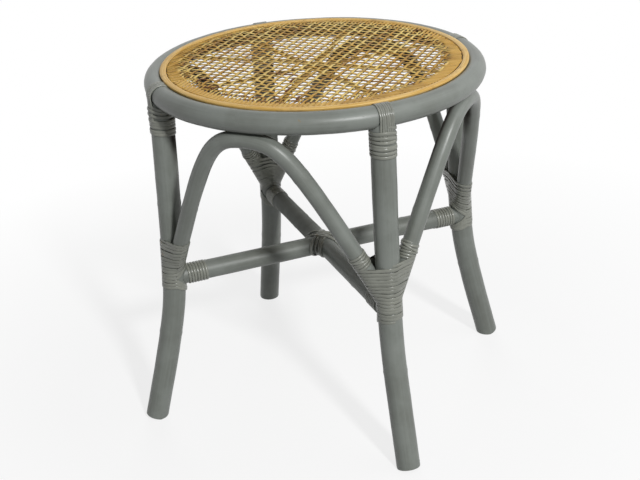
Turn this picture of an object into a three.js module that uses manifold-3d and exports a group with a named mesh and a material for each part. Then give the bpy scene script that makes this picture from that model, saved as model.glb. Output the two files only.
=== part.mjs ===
// A round rattan stool: four splayed legs, four bent arches, two crossed stretchers and a caned seat.
// Lengths are in millimetres, +Z is up, and the origin is on the floor under the middle of the seat.
// The front, right, back and left legs stand at -45, 45, 135 and 225 degrees round Z.
import * as THREE from "three";
import { mergeVertices } from "three/addons/utils/BufferGeometryUtils.js";
import Module from "manifold-3d";

const wasm = await Module();
wasm.setup();

// Seat
const seatDiameter = 422;
const rimTopHeight = 450;
const rimPole = 26.5;
const hoopPole = 15;
const hoopLean = THREE.MathUtils.degToRad(78);
const beadPole = 8;
const beadLean = THREE.MathUtils.degToRad(36.5);
const webbingThickness = 2;
const webbingBorder = 15;
const webbingPitch = 28;
const webbingStrand = 10;
const supportWidth = 8.5;
const supportThickness = 1.6;
const supportTenon = 4;
const supportAngles = [3, 97, 50, 144].map(THREE.MathUtils.degToRad);

// Stretchers
const stretcherPole = 24.5;
const stretcherHeight = 197;

// Legs: almost upright down to a bend just under the stretchers, then splayed
const legPole = 29;
const legInset = 0.25;
const legWaistSpread = 5.8;
const legFootSpread = 51.1;
const legBendDrop = 36.7;
const legBendEase = 48.7;
const saddleDepth = 3;

// Arches, each a flat bent pole in a plane that leans out to the rim
const archPole = 20;
const archFootRise = 5;
const archApexInset = 3.75;
const archShoulderRiseShare = 0.925;
const archShoulderSpanShare = 0.392;
const archCrownSpanShare = 0.324;

// Cane strip, and the straps and windings made of it
const caneWidth = 3.5;
const caneThickness = 1.1;
const strapWidth = 20;
const strapThickness = 1;
const strapTail = 14;
const topSpacing = 1.4;
const topTurns = 7;
const jointSpacing = 0.58;
const jointTurnsAbove = 10;
const jointTurnsBelow = 2;
const archEndRise = 12;
const archEndGap = 4;
const archEndSpacing = 1.3;
const archEndTurns = 5;
const stretcherEndGap = 5;
const stretcherEndSpacing = 1.1;
const stretcherEndTurns = 4;
const crossSpacing = 1.1;
const crossTurns = 4;

// Fasteners
const screwShank = 4;
const screwHead = 8;
const screwBite = 30;
const nailShank = 2.6;
const nailHead = 5;
const archNailBite = 10;
const stretcherNailBite = 20;
const crossNailCover = 4;
const bradBite = 9;
const headThickness = 1.2;
const headRecess = 1;
const tipLength = 4;

// Clearances
const fit = 0.3;
const overrun = 6;

// Counts
const rimSides = 12;
const rimSteps = 48;
const hoopSides = 8;
const hoopSteps = 32;
const beadSides = 6;
const beadSteps = 40;
const webbingSides = 40;
const legSides = 14;
const legSteps = 12;
const archSides = 10;
const archSteps = 20;
const stretcherSides = 16;
const nailSides = 6;
const strapColumns = 3;
const strapArcSteps = 6;
const coilSteps = 8;
const archEndSteps = 6;
const jointSteps = 8;
const searchPasses = 24;
const mergeShare = 0.001;

// Places that follow from the sizes
const quarterTurn = Math.PI / 2;
const eighthTurn = Math.PI / 4;
const rimRadius = rimPole / 2;
const rimReach = (seatDiameter - rimPole) / 2;
const rimHeight = rimTopHeight - rimRadius;
const hoopRadius = hoopPole / 2;
const hoopSeat = rimRadius + hoopRadius + fit;
const hoopReach = rimReach - hoopSeat * Math.sin(hoopLean);
const hoopHeight = rimHeight + hoopSeat * Math.cos(hoopLean);
const beadRadius = beadPole / 2;
const beadSeat = rimRadius + beadRadius + fit;
const beadReach = rimReach - beadSeat * Math.sin(beadLean);
const beadHeight = rimHeight + beadSeat * Math.cos(beadLean);
const webbingRadius = beadReach - beadRadius - fit;
const webbingBase = hoopHeight + hoopRadius + fit;
const supportReach = hoopReach - hoopRadius + supportTenon;
const supportStep = supportThickness + fit;
const legRadius = legPole / 2;
const legTopReach = rimReach - legInset;
const legWaistReach = legTopReach + legWaistSpread;
const legFootReach = legTopReach + legFootSpread;
const legBendHeight = stretcherHeight - legBendDrop;
const legTopHeight = rimHeight - rimRadius + saddleDepth;
const legTopSlope = (legTopReach - legWaistReach) / (rimHeight - legBendHeight);
const legFootSlope = (legWaistReach - legFootReach) / legBendHeight;
const archRadius = archPole / 2;
const archSeat = rimRadius + archRadius + fit;
const archFootHeight = stretcherHeight + archFootRise;
const archApexReach = rimReach - archApexInset;
const archApexHeight = rimHeight - Math.sqrt(archSeat ** 2 - archApexInset ** 2);
const archHalfSpan = legReach(archFootHeight) * Math.sin(eighthTurn);
const archFootReach = legReach(archFootHeight) * Math.cos(eighthTurn);
const archPlaneSlope = (archApexReach - archFootReach) / (archApexHeight - archFootHeight);
const archPlaneNormal = new THREE.Vector3(1, 0, -archPlaneSlope).normalize();
const stretcherRadius = stretcherPole / 2;
const stretcherSpan = legReach(stretcherHeight);
const topStart = rimHeight - rimRadius - caneWidth / 2 - 2 * fit;
const tailEnd = rimHeight - rimRadius - strapTail;
const topPitch = caneWidth + topSpacing;
const archEndPitch = caneWidth + archEndSpacing;
const stretcherEndPitch = caneWidth + stretcherEndSpacing;
const crossPitch = caneWidth + crossSpacing;

// On the outside the joint's turns are evenly spaced. On the inside they are pressed closer, which
// leaves room for the turns next to the stretcher to pass over and under it.
const partingHalf = stretcherRadius + caneWidth / 2 + 4 * fit;
const partingSteps = 2 * jointTurnsAbove - 1;
const jointPitch = (partingSteps * (caneWidth + jointSpacing) + 2 * partingHalf) / (partingSteps + 1);
const partingRoom = ((partingHalf - jointPitch / 2) * (partingSteps + 1)) / partingSteps;
const jointTop = stretcherHeight + jointPitch * jointTurnsAbove;

// Finishes
const greyPaint = new THREE.MeshStandardMaterial({ color: "#7c817b", roughness: 0.45, metalness: 0 });
const greyCane = new THREE.MeshStandardMaterial({ color: "#82837a", roughness: 0.5, metalness: 0 });
const naturalCane = new THREE.MeshStandardMaterial({ color: "#c4a468", roughness: 0.5, metalness: 0 });
const steel = new THREE.MeshStandardMaterial({ color: "#8e9194", roughness: 0.4, metalness: 1 });

// Distance of a leg's centre line from the stool's axis at a height: two straights with an eased bend.
function legReach(height) {
  const above = height - legBendHeight;
  const eased = (above + Math.hypot(above, legBendEase)) / 2;
  return legWaistReach + legFootSlope * (above - eased) + legTopSlope * eased;
}

// The leg's centre line, from past its foot to past its top, for a leg that stands at angle zero.
class LegLine extends THREE.Curve {
  getPoint(share, target = new THREE.Vector3()) {
    const height = THREE.MathUtils.lerp(-legRadius, legTopHeight, share);
    return target.set(legReach(height), 0, height);
  }
}

// A point of the arch's leaning plane, for an arch whose middle is at angle zero.
function archPlanePoint(side, height) {
  const reach = archFootReach + archPlaneSlope * (height - archFootHeight);
  return new THREE.Vector3(reach, side, height);
}

// One half of the arch's centre line, from a foot on the leg's own centre line up to the apex.
function archHalf(side) {
  const span = side * archHalfSpan;
  const shoulderHeight = THREE.MathUtils.lerp(archFootHeight, archApexHeight, archShoulderRiseShare);
  return new THREE.CubicBezierCurve3(
    archPlanePoint(span, archFootHeight),
    archPlanePoint(span * archShoulderSpanShare, shoulderHeight),
    archPlanePoint(span * archCrownSpanShare, archApexHeight),
    archPlanePoint(0, archApexHeight),
  );
}

function archLine() {
  const far = archHalf(1);
  const line = new THREE.CurvePath();
  line.add(archHalf(-1));
  line.add(new THREE.CubicBezierCurve3(far.v3, far.v2, far.v1, far.v0));
  return line;
}

// Where the arch's centre line is at a height, seen from the leg that stands at angle zero.
function archCentreAt(height) {
  const half = archHalf(-1);
  let low = 0;
  let high = 1;
  for (let pass = 0; pass < searchPasses; pass += 1) {
    const middle = (low + high) / 2;
    if (half.getPoint(middle).z < height) low = middle;
    else high = middle;
  }
  return half.getPoint(low).applyAxisAngle(new THREE.Vector3(0, 0, 1), eighthTurn);
}

// Solids and cuts
function pole(line, radius, sides, steps) {
  const section = new THREE.Shape().absarc(0, 0, radius, 0, 2 * Math.PI);
  const options = { extrudePath: line, steps, curveSegments: sides / 2, bevelEnabled: false };
  return new THREE.ExtrudeGeometry(section, options);
}

function ring(reach, radius, height, sides, steps) {
  return new THREE.TorusGeometry(reach, radius, sides, steps).translate(0, 0, height);
}

function solidOf(geometry) {
  const bare = geometry.clone();
  bare.deleteAttribute("normal");
  bare.deleteAttribute("uv");
  const merged = mergeVertices(bare, fit * mergeShare);
  const vertProperties = merged.attributes.position.array;
  const triVerts = new Uint32Array(merged.index.array);
  return new wasm.Manifold(new wasm.Mesh({ numProp: 3, vertProperties, triVerts }));
}

function surfaceOf(solid) {
  const mesh = solid.getMesh();
  const made = new THREE.BufferGeometry();
  made.setAttribute("position", new THREE.BufferAttribute(mesh.vertProperties, 3));
  made.setIndex(new THREE.BufferAttribute(mesh.triVerts, 1));
  made.computeVertexNormals();
  return made;
}

function cut(geometry, tools) {
  return surfaceOf(tools.reduce((rest, tool) => rest.subtract(solidOf(tool)), solidOf(geometry)));
}

function atQuarters(geometry) {
  return [0, 1, 2, 3].map((quarter) => geometry.clone().rotateZ(quarter * quarterTurn));
}

// A nail or screw, or its flat-ended hole: the top of its head is at the origin and it points down.
function nailProfile(shank, head, length, spare, above, point) {
  const shankRadius = shank / 2 + spare;
  const headRadius = head / 2 + spare;
  const underHead = -headThickness - spare;
  const points = [
    [0, -length - spare],
    [shankRadius, -length - spare + point],
    [shankRadius, underHead],
    [headRadius, underHead],
    [headRadius, above],
    [0, above],
  ].map(([x, y]) => new THREE.Vector2(x, y));
  return new THREE.LatheGeometry(points, nailSides).rotateX(quarterTurn);
}

class Fastener {
  constructor(shank, head, length, start, way) {
    this.size = [shank, head, length];
    this.start = start;
    this.turn = new THREE.Quaternion().setFromUnitVectors(new THREE.Vector3(0, 0, -1), way);
  }

  place(geometry) {
    return geometry.applyQuaternion(this.turn).translate(...this.start);
  }

  body() {
    return this.place(nailProfile(...this.size, 0, 0, tipLength));
  }

  hole() {
    return this.place(nailProfile(...this.size, fit, overrun, 0));
  }
}

// Each fastener is placed for a leg or an arch that stands at angle zero.
const legScrew = new Fastener(
  screwShank,
  screwHead,
  rimPole - headRecess + screwBite,
  new THREE.Vector3(legTopReach, 0, rimTopHeight - headRecess),
  new THREE.Vector3(0, 0, -1),
);
const archNail = new Fastener(
  nailShank,
  nailHead,
  archPole - headRecess + fit + archNailBite,
  new THREE.Vector3(archApexReach, 0, archApexHeight - archRadius + headRecess),
  new THREE.Vector3(0, 0, 1),
);
const stretcherNail = new Fastener(
  nailShank,
  nailHead,
  legPole - headRecess + fit + stretcherNailBite,
  new THREE.Vector3(stretcherSpan + legRadius - headRecess, 0, stretcherHeight),
  new THREE.Vector3(-1, 0, 0),
);
const crossNail = new Fastener(
  nailShank,
  nailHead,
  stretcherPole - headRecess - crossNailCover,
  new THREE.Vector3(0, 0, stretcherHeight + stretcherRadius - headRecess),
  new THREE.Vector3(0, 0, -1),
);
const bradWay = new THREE.Vector3(Math.sin(hoopLean), 0, -Math.cos(hoopLean));
const hoopBrad = new Fastener(
  nailShank,
  nailHead,
  hoopPole - headRecess + fit + bradBite,
  new THREE.Vector3(hoopReach, 0, hoopHeight).addScaledVector(bradWay, headRecess - hoopRadius),
  bradWay,
);
const bradOffset = eighthTurn / 2;

// Seat pieces
function rimGeometry() {
  const body = ring(rimReach, rimRadius, rimHeight, rimSides, rimSteps);
  const holes = [
    ...atQuarters(legScrew.hole().rotateZ(eighthTurn)),
    ...atQuarters(archNail.hole()),
    ...atQuarters(hoopBrad.hole().rotateZ(bradOffset)),
  ];
  return cut(body, holes);
}

// The hoop and the bead are notched where they cross the straps.
function strapRoom() {
  return atQuarters(strapGeometry(fit, strapThickness).rotateZ(eighthTurn));
}

// One of the four flat strips that cross under the webbing, stacked at the middle of the seat. Their ends
// sit in slots in the hoop's inner side.
function supportGeometry(index, spare) {
  const spread = 2 * spare;
  const size = [2 * supportReach + spread, supportWidth + spread, supportThickness + spread];
  const height = hoopHeight + ((supportAngles.length - 1) / 2 - index) * supportStep;
  return new THREE.BoxGeometry(...size).rotateZ(supportAngles[index]).translate(0, 0, height);
}

function hoopGeometry() {
  const body = ring(hoopReach, hoopRadius, hoopHeight, hoopSides, hoopSteps);
  return cut(body, [
    ...atQuarters(hoopBrad.hole().rotateZ(bradOffset)),
    ...strapRoom(),
    ...supportAngles.map((_, index) => supportGeometry(index, fit)),
  ]);
}

function beadGeometry() {
  return cut(ring(beadReach, beadRadius, beadHeight, beadSides, beadSteps), strapRoom());
}

// An open square net with a closed border that lies on the hoop.
function webbingGeometry() {
  const plate = new THREE.CylinderGeometry(webbingRadius, webbingRadius, webbingThickness, webbingSides);
  const openRadius = webbingRadius - webbingBorder;
  const side = webbingPitch - webbingStrand;
  const depth = webbingThickness + overrun;
  const gaps = [];
  const reach = Math.floor(openRadius / webbingPitch);
  for (let column = -reach; column <= reach; column += 1) {
    for (let row = -reach; row <= reach; row += 1) {
      const x = column * webbingPitch;
      const y = row * webbingPitch;
      if (Math.hypot(x, y) > openRadius - side / 4) continue;
      gaps.push(solidOf(new THREE.BoxGeometry(side, side, depth).translate(x, y, 0)));
    }
  }
  const field = new THREE.CylinderGeometry(openRadius, openRadius, depth, webbingSides).rotateX(quarterTurn);
  const openings = surfaceOf(wasm.Manifold.union(gaps).intersect(solidOf(field)));
  return cut(plate.rotateX(quarterTurn), [openings]).translate(0, 0, webbingBase + webbingThickness / 2);
}

// Frame pieces
function legPoleWith(spare) {
  return pole(new LegLine(), legRadius + spare, legSides, legSteps);
}

function legGeometry() {
  const width = 2 * (legPole + overrun);
  const floor = new THREE.BoxGeometry(width, width, legPole).translate(legFootReach, 0, -legRadius);
  const rimRoom = ring(rimReach, rimRadius + fit, rimHeight, rimSides, rimSteps).rotateZ(eighthTurn);
  return cut(legPoleWith(0), [floor, rimRoom, legScrew.hole(), stretcherNail.hole()]);
}

function archGeometry() {
  const body = pole(archLine(), archRadius, archSides, archSteps);
  const legRoom = legPoleWith(fit);
  const tools = [legRoom.clone().rotateZ(-eighthTurn), legRoom.rotateZ(eighthTurn), archNail.hole()];
  return cut(body, tools);
}

// Both stretchers are halved where they cross: the lower one above its middle, the upper one below it.
function stretcherGeometry(halvedSide) {
  const rod = new THREE.CylinderGeometry(stretcherRadius, stretcherRadius, 2 * stretcherSpan, stretcherSides);
  rod.rotateZ(quarterTurn).translate(0, 0, stretcherHeight);
  const width = stretcherPole + 2 * fit;
  const half = new THREE.BoxGeometry(width, width, stretcherPole);
  half.translate(0, 0, stretcherHeight + halvedSide * (stretcherRadius - fit / 2));
  const legRoom = legPoleWith(fit);
  const nearNail = stretcherNail.hole();
  return cut(rod, [
    half,
    legRoom,
    legRoom.clone().rotateZ(Math.PI),
    nearNail,
    nearNail.clone().rotateZ(Math.PI),
    crossNail.hole().rotateZ(-halvedSide * eighthTurn),
  ]);
}

// One closed skin over a row of sections: each section is a ring of points, clockwise seen from the start.
function loft(rows) {
  const size = rows[0].length;
  const positions = rows.flat().flatMap((point) => point.toArray());
  const faces = [];
  for (let row = 0; row + 1 < rows.length; row += 1) {
    for (let spot = 0; spot < size; spot += 1) {
      const next = (spot + 1) % size;
      const a = row * size + spot;
      const b = row * size + next;
      faces.push(a, b + size, b, a, a + size, b + size);
    }
  }
  const last = (rows.length - 1) * size;
  for (let spot = 0; spot + 1 < size / 2; spot += 1) {
    const low = spot;
    const high = size - 1 - spot;
    faces.push(low, low + 1, high, last + low, last + high, last + low + 1);
    if (low + 1 === high - 1) continue;
    faces.push(low + 1, high - 1, high, last + low + 1, last + high, last + high - 1);
  }
  const made = new THREE.BufferGeometry();
  made.setAttribute("position", new THREE.Float32BufferAttribute(positions, 3));
  made.setIndex(faces);
  made.computeVertexNormals();
  return made;
}

// The strap's point at a stop along it, a distance to one side, and a distance out from what it lies on.
function strapPoint(stop, side, out) {
  if (stop.onLeg) {
    const angle = side / legRadius;
    const radius = (legRadius + fit) / Math.cos(strapWidth / strapColumns / legRadius / 2) + out;
    const reach = legReach(stop.height) + stop.onLeg * radius * Math.cos(angle);
    return new THREE.Vector3(reach, radius * Math.sin(angle), stop.height);
  }
  const radius = (rimRadius + fit) / Math.cos(Math.PI / strapArcSteps / 2) + out;
  const reach = rimReach + radius * Math.cos(stop.angle);
  const height = rimHeight + radius * Math.sin(stop.angle);
  const angle = side / rimReach;
  return new THREE.Vector3(reach * Math.cos(angle), reach * Math.sin(angle), height);
}

// Cane laid over the rim, with both tails down on the leg under its top winding.
function strapGeometry(spare, sunk) {
  const stops = [{ onLeg: 1, height: tailEnd }, { onLeg: 1, height: legTopHeight }];
  for (let step = 0; step <= strapArcSteps; step += 1) {
    stops.push({ angle: (Math.PI * step) / strapArcSteps });
  }
  stops.push({ onLeg: -1, height: legTopHeight }, { onLeg: -1, height: tailEnd });
  const halfWidth = strapWidth / 2 + spare;
  const sides = [];
  for (let column = 0; column <= strapColumns; column += 1) {
    sides.push(THREE.MathUtils.lerp(-halfWidth, halfWidth, column / strapColumns));
  }
  const rows = stops.map((stop) => [
    ...sides.map((side) => strapPoint(stop, side, strapThickness + spare)),
    ...sides.toReversed().map((side) => strapPoint(stop, side, -sunk)),
  ]);
  return loft(rows.toReversed());
}

// Windings
// The sections of a strip of cane along a path whose stops each hold a point and the direction out of the
// work. The strip is flat towards the work and crowned away from it, and its ends run straight for one width.
function stripSections(stops) {
  const path = [...stops];
  const runOn = (end, next) => {
    const way = end.point.clone().sub(next.point).normalize();
    return { point: end.point.clone().addScaledVector(way, caneWidth), out: end.out };
  };
  path.unshift(runOn(stops[0], stops[1]));
  path.push(runOn(stops[stops.length - 1], stops[stops.length - 2]));
  return path.map(({ point, out }, index) => {
    const before = path[Math.max(index - 1, 0)].point;
    const after = path[Math.min(index + 1, path.length - 1)].point;
    const along = after.clone().sub(before).normalize();
    const across = new THREE.Vector3().crossVectors(along, out).normalize();
    const raised = new THREE.Vector3().crossVectors(across, along).normalize();
    return [
      point.clone().addScaledVector(across, caneWidth / 2),
      point.clone().addScaledVector(raised, caneThickness),
      point.clone().addScaledVector(across, -caneWidth / 2),
    ];
  });
}

// The least distance between corners of the strip that lie at least half a turn apart.
function leastGap(rows, stepsPerTurn) {
  let least = Infinity;
  rows.forEach((row, index) => {
    rows.slice(index + Math.ceil(stepsPerTurn / 2) + 1).forEach((other) => {
      row.forEach((corner) => other.forEach((far) => (least = Math.min(least, corner.distanceTo(far)))));
    });
  });
  return least;
}

function winding(label, turns, stepsPerTurn, stopAt) {
  const count = turns * stepsPerTurn;
  const stops = Array.from({ length: count + 1 }, (_, step) => stopAt(step / stepsPerTurn));
  const rows = stripSections(stops);
  console.log(`${label}: least gap to itself ${leastGap(rows, stepsPerTurn).toFixed(2)} mm`);
  return loft(rows);
}

function around(angle) {
  return new THREE.Vector3(Math.cos(angle), Math.sin(angle), 0);
}

// The radius at which the corners of a turn must lie for its straight runs to clear a round pole.
function cornerRadius(radius, stepsPerTurn) {
  return (radius + fit) / Math.cos(Math.PI / stepsPerTurn);
}

// Round the top of a leg, wider where it passes over the tails of the strap.
function topWinding() {
  return winding("leg top binding", topTurns, coilSteps, (turn) => {
    const height = topStart - topPitch * turn;
    const overStrap = THREE.MathUtils.clamp((height + 2 * topPitch - tailEnd) / topPitch, 0, 1);
    const radius = cornerRadius(legRadius + overStrap * (strapThickness + 2 * fit), coilSteps);
    const out = around(2 * Math.PI * turn);
    const point = new THREE.Vector3(legReach(height), 0, height).addScaledVector(out, radius);
    return { point, out };
  });
}

// A corner of the outline drawn tight round the leg and the two arch ends at a height.
function bundlePoint(height, angle) {
  const arch = archCentreAt(height);
  const slant = archCentreAt(height + caneWidth).sub(arch).setZ(0).length() / caneWidth;
  const archSection = archRadius * Math.hypot(1, slant);
  const furthest = (way) => {
    const legSide = legReach(height) * way.x + legRadius;
    const archSide = arch.x * way.x + Math.abs(arch.y * way.y) + archSection;
    return Math.max(legSide, archSide) + 2 * fit;
  };
  const half = Math.PI / jointSteps;
  const before = furthest(around(angle - half));
  const after = furthest(around(angle + half));
  const point = around(angle).multiplyScalar((after + before) / 2 / Math.cos(half));
  point.addScaledVector(around(angle + quarterTurn), (after - before) / 2 / Math.sin(half));
  return point.setZ(height);
}

// Round the leg and the two arch ends. On the inner side the turns part round the end of the stretcher.
function jointWinding() {
  return winding("joint binding", jointTurnsAbove + jointTurnsBelow, jointSteps, (turn) => {
    const angle = 2 * Math.PI * turn;
    const lift = turn < jointTurnsAbove ? (partingRoom * turn) / jointTurnsAbove : -partingRoom;
    const height = jointTop - jointPitch * turn + Math.max(0, -Math.cos(angle)) * lift;
    const point = bundlePoint(height, angle);
    const rise = bundlePoint(height + caneWidth / 2, angle).sub(bundlePoint(height - caneWidth / 2, angle));
    return { point, out: around(angle).projectOnPlane(rise.normalize()).normalize() };
  });
}

// How far the arch stands off the leg beside its first end, at a point of its centre line.
function gapToLeg(point) {
  const legCentre = around(-eighthTurn).multiplyScalar(legReach(point.z)).setZ(point.z);
  return point.distanceTo(legCentre) - legRadius - archRadius;
}

// Round an arch at its first end, just above the joint and where the arch stands clear of the leg.
function archEndWinding() {
  const half = archHalf(-1);
  const start = jointTop + archEndRise;
  const spaced = half.getSpacedPoints(archSteps * archSides);
  const first = spaced.findIndex((point) => point.z >= start && gapToLeg(point) >= archEndGap);
  const spacing = half.getLength() / (archSteps * archSides);
  const radius = cornerRadius(archRadius, archEndSteps);
  return winding("arch end binding", archEndTurns, archEndSteps, (turn) => {
    const share = (first + (archEndPitch * turn) / spacing) / (archSteps * archSides);
    const along = half.getTangentAt(share);
    const sideways = new THREE.Vector3().crossVectors(archPlaneNormal, along);
    const angle = 2 * Math.PI * turn;
    const out = archPlaneNormal.clone().multiplyScalar(Math.cos(angle));
    out.addScaledVector(sideways, Math.sin(angle));
    return { point: half.getPointAt(share).addScaledVector(out, radius), out };
  });
}

// Round a stretcher beside the leg at angle zero.
function stretcherEndWinding() {
  const start = stretcherSpan - legRadius - stretcherEndGap;
  const radius = cornerRadius(stretcherRadius, coilSteps);
  return winding("stretcher end binding", stretcherEndTurns, coilSteps, (turn) => {
    const out = new THREE.Vector3(0, Math.cos(2 * Math.PI * turn), Math.sin(2 * Math.PI * turn));
    const point = new THREE.Vector3(start - stretcherEndPitch * turn, 0, stretcherHeight);
    return { point: point.addScaledVector(out, radius), out };
  });
}

// Slantwise round the crossing, side by side in upright planes that halve the angle of the two stretchers.
function crossWinding() {
  const long = cornerRadius(stretcherRadius * Math.SQRT2 + caneWidth, coilSteps);
  const tall = cornerRadius(stretcherRadius, coilSteps);
  const along = around(quarterTurn);
  const aside = around(0);
  return winding("cross binding", crossTurns, coilSteps, (turn) => {
    const angle = 2 * Math.PI * (turn + 1 / (2 * coilSteps));
    const shift = crossPitch * (turn - crossTurns / 2);
    const reach = Math.sign(Math.cos(angle)) * Math.abs(shift) + long * Math.cos(angle);
    const point = new THREE.Vector3(0, 0, stretcherHeight + tall * Math.sin(angle));
    point.addScaledVector(along, reach).addScaledVector(aside, shift);
    const out = along.clone().multiplyScalar(Math.cos(angle)).setZ(Math.sin(angle));
    return { point, out };
  });
}

// The winding at an arch's second end is the mirror image of the one at its first.
function mirrored(geometry) {
  const made = geometry.clone().scale(1, -1, 1);
  const order = geometry.index.array;
  made.setIndex(Array.from(order, (_, spot) => order[spot - (spot % 3) + ((2 * spot) % 3)]));
  made.computeVertexNormals();
  return made;
}

// Assembly
const stool = new THREE.Group();

function add(parent, name, geometry, material) {
  const mesh = new THREE.Mesh(geometry, material);
  mesh.name = name;
  parent.add(mesh);
  return mesh;
}

function turnedGroup(angle) {
  const group = new THREE.Group();
  group.rotation.z = angle;
  stool.add(group);
  return group;
}

add(stool, "seat_rim", rimGeometry(), greyPaint);
add(stool, "seat_hoop", hoopGeometry(), naturalCane);
add(stool, "seat_webbing", webbingGeometry(), naturalCane);
add(stool, "seat_bead", beadGeometry(), naturalCane);
supportAngles.forEach((_, index) => {
  add(stool, `seat_support_${index + 1}`, supportGeometry(index, 0), naturalCane);
});

const corners = ["front", "right", "back", "left"];
const cornersWithBoundArches = ["front", "back"];
const perCorner = {
  leg: [legGeometry(), greyPaint],
  rim_strap: [strapGeometry(0, 0), greyCane],
  leg_top_binding: [topWinding(), greyCane],
  joint_binding: [jointWinding(), greyCane],
  stretcher_end_binding: [stretcherEndWinding(), greyCane],
  leg_screw: [legScrew.body(), steel],
  stretcher_nail: [stretcherNail.body(), steel],
};
corners.forEach((corner, index) => {
  const group = turnedGroup(index * quarterTurn - eighthTurn);
  for (const [piece, [geometry, material]] of Object.entries(perCorner)) {
    add(group, `${piece}_${corner}`, geometry, material);
  }
});

const archBody = archGeometry();
const archNailBody = archNail.body();
const bradBody = hoopBrad.body();
const archEnd = archEndWinding();
const farArchEnd = mirrored(archEnd);
corners.forEach((corner, index) => {
  const next = corners[(index + 1) % corners.length];
  const group = turnedGroup(index * quarterTurn);
  add(group, `arch_${corner}_${next}`, archBody, greyPaint);
  add(group, `arch_nail_${corner}_${next}`, archNailBody, steel);
  if (cornersWithBoundArches.includes(corner)) {
    add(group, `arch_end_binding_${corner}_to_${next}`, archEnd, greyCane);
  } else {
    add(group, `arch_end_binding_${next}_to_${corner}`, farArchEnd, greyCane);
  }
  add(group, `hoop_brad_${corner}_${next}`, bradBody, steel).rotation.z = bradOffset;
});

add(turnedGroup(eighthTurn), "stretcher_left_right", stretcherGeometry(1), greyPaint);
add(turnedGroup(-eighthTurn), "stretcher_front_back", stretcherGeometry(-1), greyPaint);
add(stool, "cross_binding", crossWinding(), greyCane);
add(stool, "cross_nail", crossNail.body(), steel);

export default stool;
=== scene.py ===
import math
import random
from contextlib import contextmanager

import bmesh
import bpy
from mathutils import Matrix, Vector, noise
from mathutils.geometry import interpolate_bezier
from mathutils.kdtree import KDTree


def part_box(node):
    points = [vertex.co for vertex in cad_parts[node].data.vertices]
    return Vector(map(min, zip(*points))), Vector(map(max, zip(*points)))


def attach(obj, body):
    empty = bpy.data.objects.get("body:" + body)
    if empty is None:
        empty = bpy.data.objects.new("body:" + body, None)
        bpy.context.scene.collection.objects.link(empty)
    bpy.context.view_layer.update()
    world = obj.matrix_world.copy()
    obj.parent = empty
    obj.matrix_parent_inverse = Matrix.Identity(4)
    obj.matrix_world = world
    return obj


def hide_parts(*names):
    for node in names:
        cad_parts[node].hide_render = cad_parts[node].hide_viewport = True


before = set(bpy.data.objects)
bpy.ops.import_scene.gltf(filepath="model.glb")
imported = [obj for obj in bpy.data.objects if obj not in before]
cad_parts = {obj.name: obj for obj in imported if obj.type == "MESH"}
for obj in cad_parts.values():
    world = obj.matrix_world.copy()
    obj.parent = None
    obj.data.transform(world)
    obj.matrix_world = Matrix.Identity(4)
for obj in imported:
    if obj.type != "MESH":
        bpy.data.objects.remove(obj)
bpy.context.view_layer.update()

bl_info = {
    "name": "Painted rattan stool",
    "version": (1, 0, 0),
    "blender": (4, 5, 0),
    "location": "3D View > Sidebar > Stool",
    "description": "Dresses the frame of a painted rattan stool with a caned seat",
    "category": "Mesh",
}

RIM_LOW, RIM_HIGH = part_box("seat_rim")
MM = 0.001
FIT = 0.3 * MM
QUARTER = math.pi / 2
UP = Vector((0, 0, 1))
DOWN = -UP
CORNERS = ("front", "right", "back", "left")
CORNER_ANGLES = tuple(QUARTER * index - QUARTER / 2 for index in range(4))
ARCH_ENDS_BOUND = ("front", "back")


# Sizes and colours that a user may change
def length(label, text, default):
    return bpy.props.FloatProperty(name=label, description=text, default=default, min=0, unit="LENGTH")


def turn_of(label, text, degrees):
    return bpy.props.FloatProperty(
        name=label, description=text, default=math.radians(degrees), subtype="ANGLE"
    )


def lengths(label, text, in_mm):
    """One length for each of several places."""
    default = [value * MM for value in in_mm]
    return bpy.props.FloatVectorProperty(
        name=label, description=text, default=default, size=len(default), unit="LENGTH"
    )


def shifts(label, what, in_mm):
    return lengths(label, f"How far {what} of each hand-bent arch lies towards its second leg", in_mm)


def amount(label, text, default):
    return bpy.props.FloatProperty(name=label, description=text, default=default, min=0)


def number(label, text, default):
    return bpy.props.IntProperty(name=label, description=text, default=default, min=1)


def linear(level):
    """One channel of a colour as it shows, from 0 to 255, as the light that it stands for."""
    share = level / 255
    return share / 12.92 if share <= 0.04045 else ((share + 0.055) / 1.055) ** 2.4


def colour(label, text, shown):
    return bpy.props.FloatVectorProperty(
        name=label,
        description=text,
        default=[linear(level) for level in shown],
        subtype="COLOR",
        min=0,
        max=1,
    )


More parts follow.
